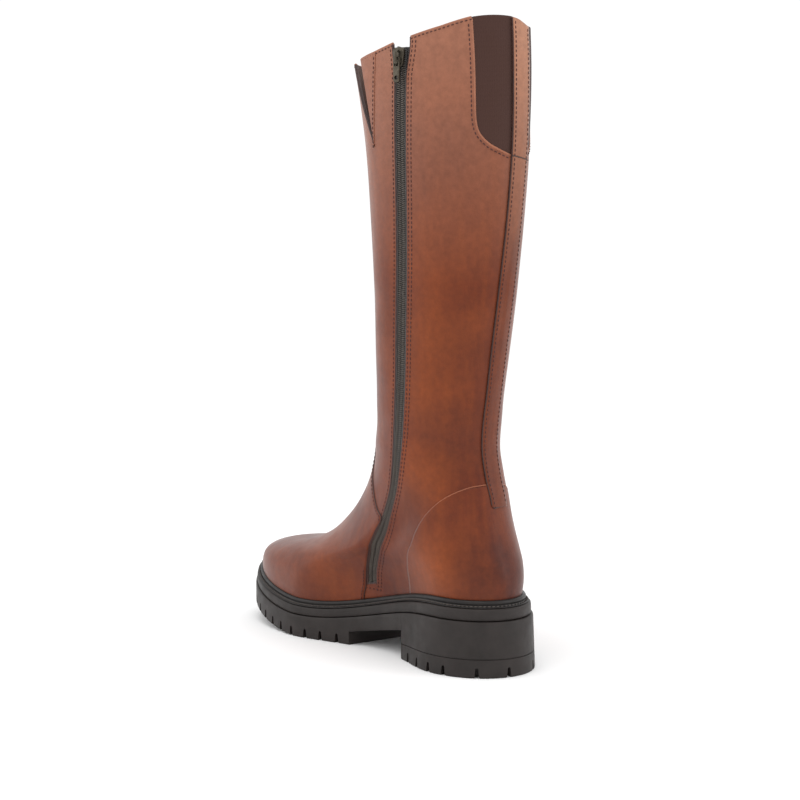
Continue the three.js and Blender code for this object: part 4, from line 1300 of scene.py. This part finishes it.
def makeWelt():
    ring, normal = evenRing(*outline(soleShape["weltReach"])[:2], welt["spacing"])
    base = np.column_stack([ring, soleTop(ring[:, 0] + normal[:, 0] * welt["middle"])])
    out = np.column_stack([normal, np.zeros(len(normal))])
    up = np.tile([0, 0, 1.0], (len(base), 1))
    shape = sweep(base, out, up, welt["profile"], closed=True)
    made = makePiece("weltRand", shape, weltRubber, sharp=70)
    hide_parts("welt")
    ring, normal = evenRing(*outline(soleShape["weltReach"])[:2], welt["pitch"])
    ring = ring + normal * welt["stitchAside"]
    places = np.column_stack([ring, soleTop(ring[:, 0]) + welt["stitchHeight"]])
    forward = np.roll(places, -1, axis=0) - np.roll(places, 1, axis=0)
    forward /= np.linalg.norm(forward, axis=1, keepdims=True)
    out = np.column_stack([normal, np.zeros(len(normal))])
    up = np.cross(forward, out)
    shape = grains(places, forward, -out, up, welt["length"], welt["radius"], welt["slant"])
    makePiece("weltStitches", shape, weltThread)


def evenRing(ring, normal, spacing):
    # the closed ring and its outward directions at equal steps of length, close to spacing
    closed = np.vstack([ring, ring[:1]])
    turn = np.vstack([normal, normal[:1]])
    run = np.concatenate([[0], np.cumsum(np.linalg.norm(np.diff(closed, axis=0), axis=1))])
    places = np.linspace(0, run[-1], int(round(run[-1] / spacing)) + 1)[:-1]
    ring = np.column_stack([np.interp(places, run, closed[:, k]) for k in (0, 1)])
    normal = np.column_stack([np.interp(places, run, turn[:, k]) for k in (0, 1)])
    return ring, normal / np.linalg.norm(normal, axis=1, keepdims=True)


makeOutsole()
makeBand()
makeWelt()
insole = frame["nodes"]["insole"].data
insole.materials.clear()
insole.materials.append(insoleLeather)
print("sole ready")


# Floor, light and camera

def makeStudio():
    bpy.ops.mesh.primitive_plane_add(size=30)
    floor = bpy.context.object
    floor.name = "floor"
    white = Nodes("paleFloor", Roughness=0.9, Specular_IOR_Level=0.0)
    white.shader.inputs["Base Color"].default_value = (*[studio["floor"]] * 3, 1)
    floor.data.materials.append(white.material)
    floor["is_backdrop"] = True
    world = bpy.data.worlds.new("studio")
    world.use_nodes = True
    world.node_tree.nodes["Background"].inputs[0].default_value = (1, 1, 1, 1)
    world.node_tree.nodes["Background"].inputs[1].default_value = studio["world"]
    scene.world = world
    for name, place, aim, size, power in studio["lights"]:
        lamp = bpy.data.lights.new(name, "AREA")
        lamp.shape = "RECTANGLE"
        lamp.size, lamp.size_y = size
        lamp.energy = power
        thing = bpy.data.objects.new(name, lamp)
        thing.location = place
        direction = np.array(aim) - np.array(place)
        thing.rotation_mode = "QUATERNION"
        thing.rotation_quaternion = Vector(direction.tolist()).to_track_quat("-Z", "Y")
        scene.collection.objects.link(thing)
    scene.view_settings.view_transform = "Standard"


studio = dict(
    world=1.05, floor=0.98,
    lights=[
        ("leftBox", (0.85, 1.0, 0.75), (0.02, 0, 0.2), (0.7, 1.1), 3),
        ("rightBox", (-1.0, -0.75, 0.6), (0.0, 0, 0.22), (0.5, 1.1), 3),
        ("topBox", (-0.2, 0.3, 1.5), (0.02, 0, 0.15), (1.0, 1.0), 5),
    ],
)
cameraPlace = dict(turn=35, distance=1160, aside=-50, height=279, tilt=5.15, lens=80.8)


def makeCamera():
    a, p = math.radians(cameraPlace["turn"]), math.radians(cameraPlace["tilt"])
    far, aside = cameraPlace["distance"], cameraPlace["aside"]
    view = bpy.data.cameras.new("view")
    view.lens = cameraPlace["lens"]
    view.sensor_width = 36
    camera = bpy.data.objects.new("view", view)
    camera.location = (
        mm * (-far * math.cos(a) - aside * math.sin(a)),
        mm * (far * math.sin(a) - aside * math.cos(a)),
        mm * cameraPlace["height"],
    )
    camera.rotation_mode = "QUATERNION"
    ahead = Vector((math.cos(a) * math.cos(p), -math.sin(a) * math.cos(p), -math.sin(p)))
    camera.rotation_quaternion = ahead.to_track_quat("-Z", "Y")
    scene.collection.objects.link(camera)
    scene.camera = camera


makeCamera()
makeStudio()
low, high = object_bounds()
print("studio ready")
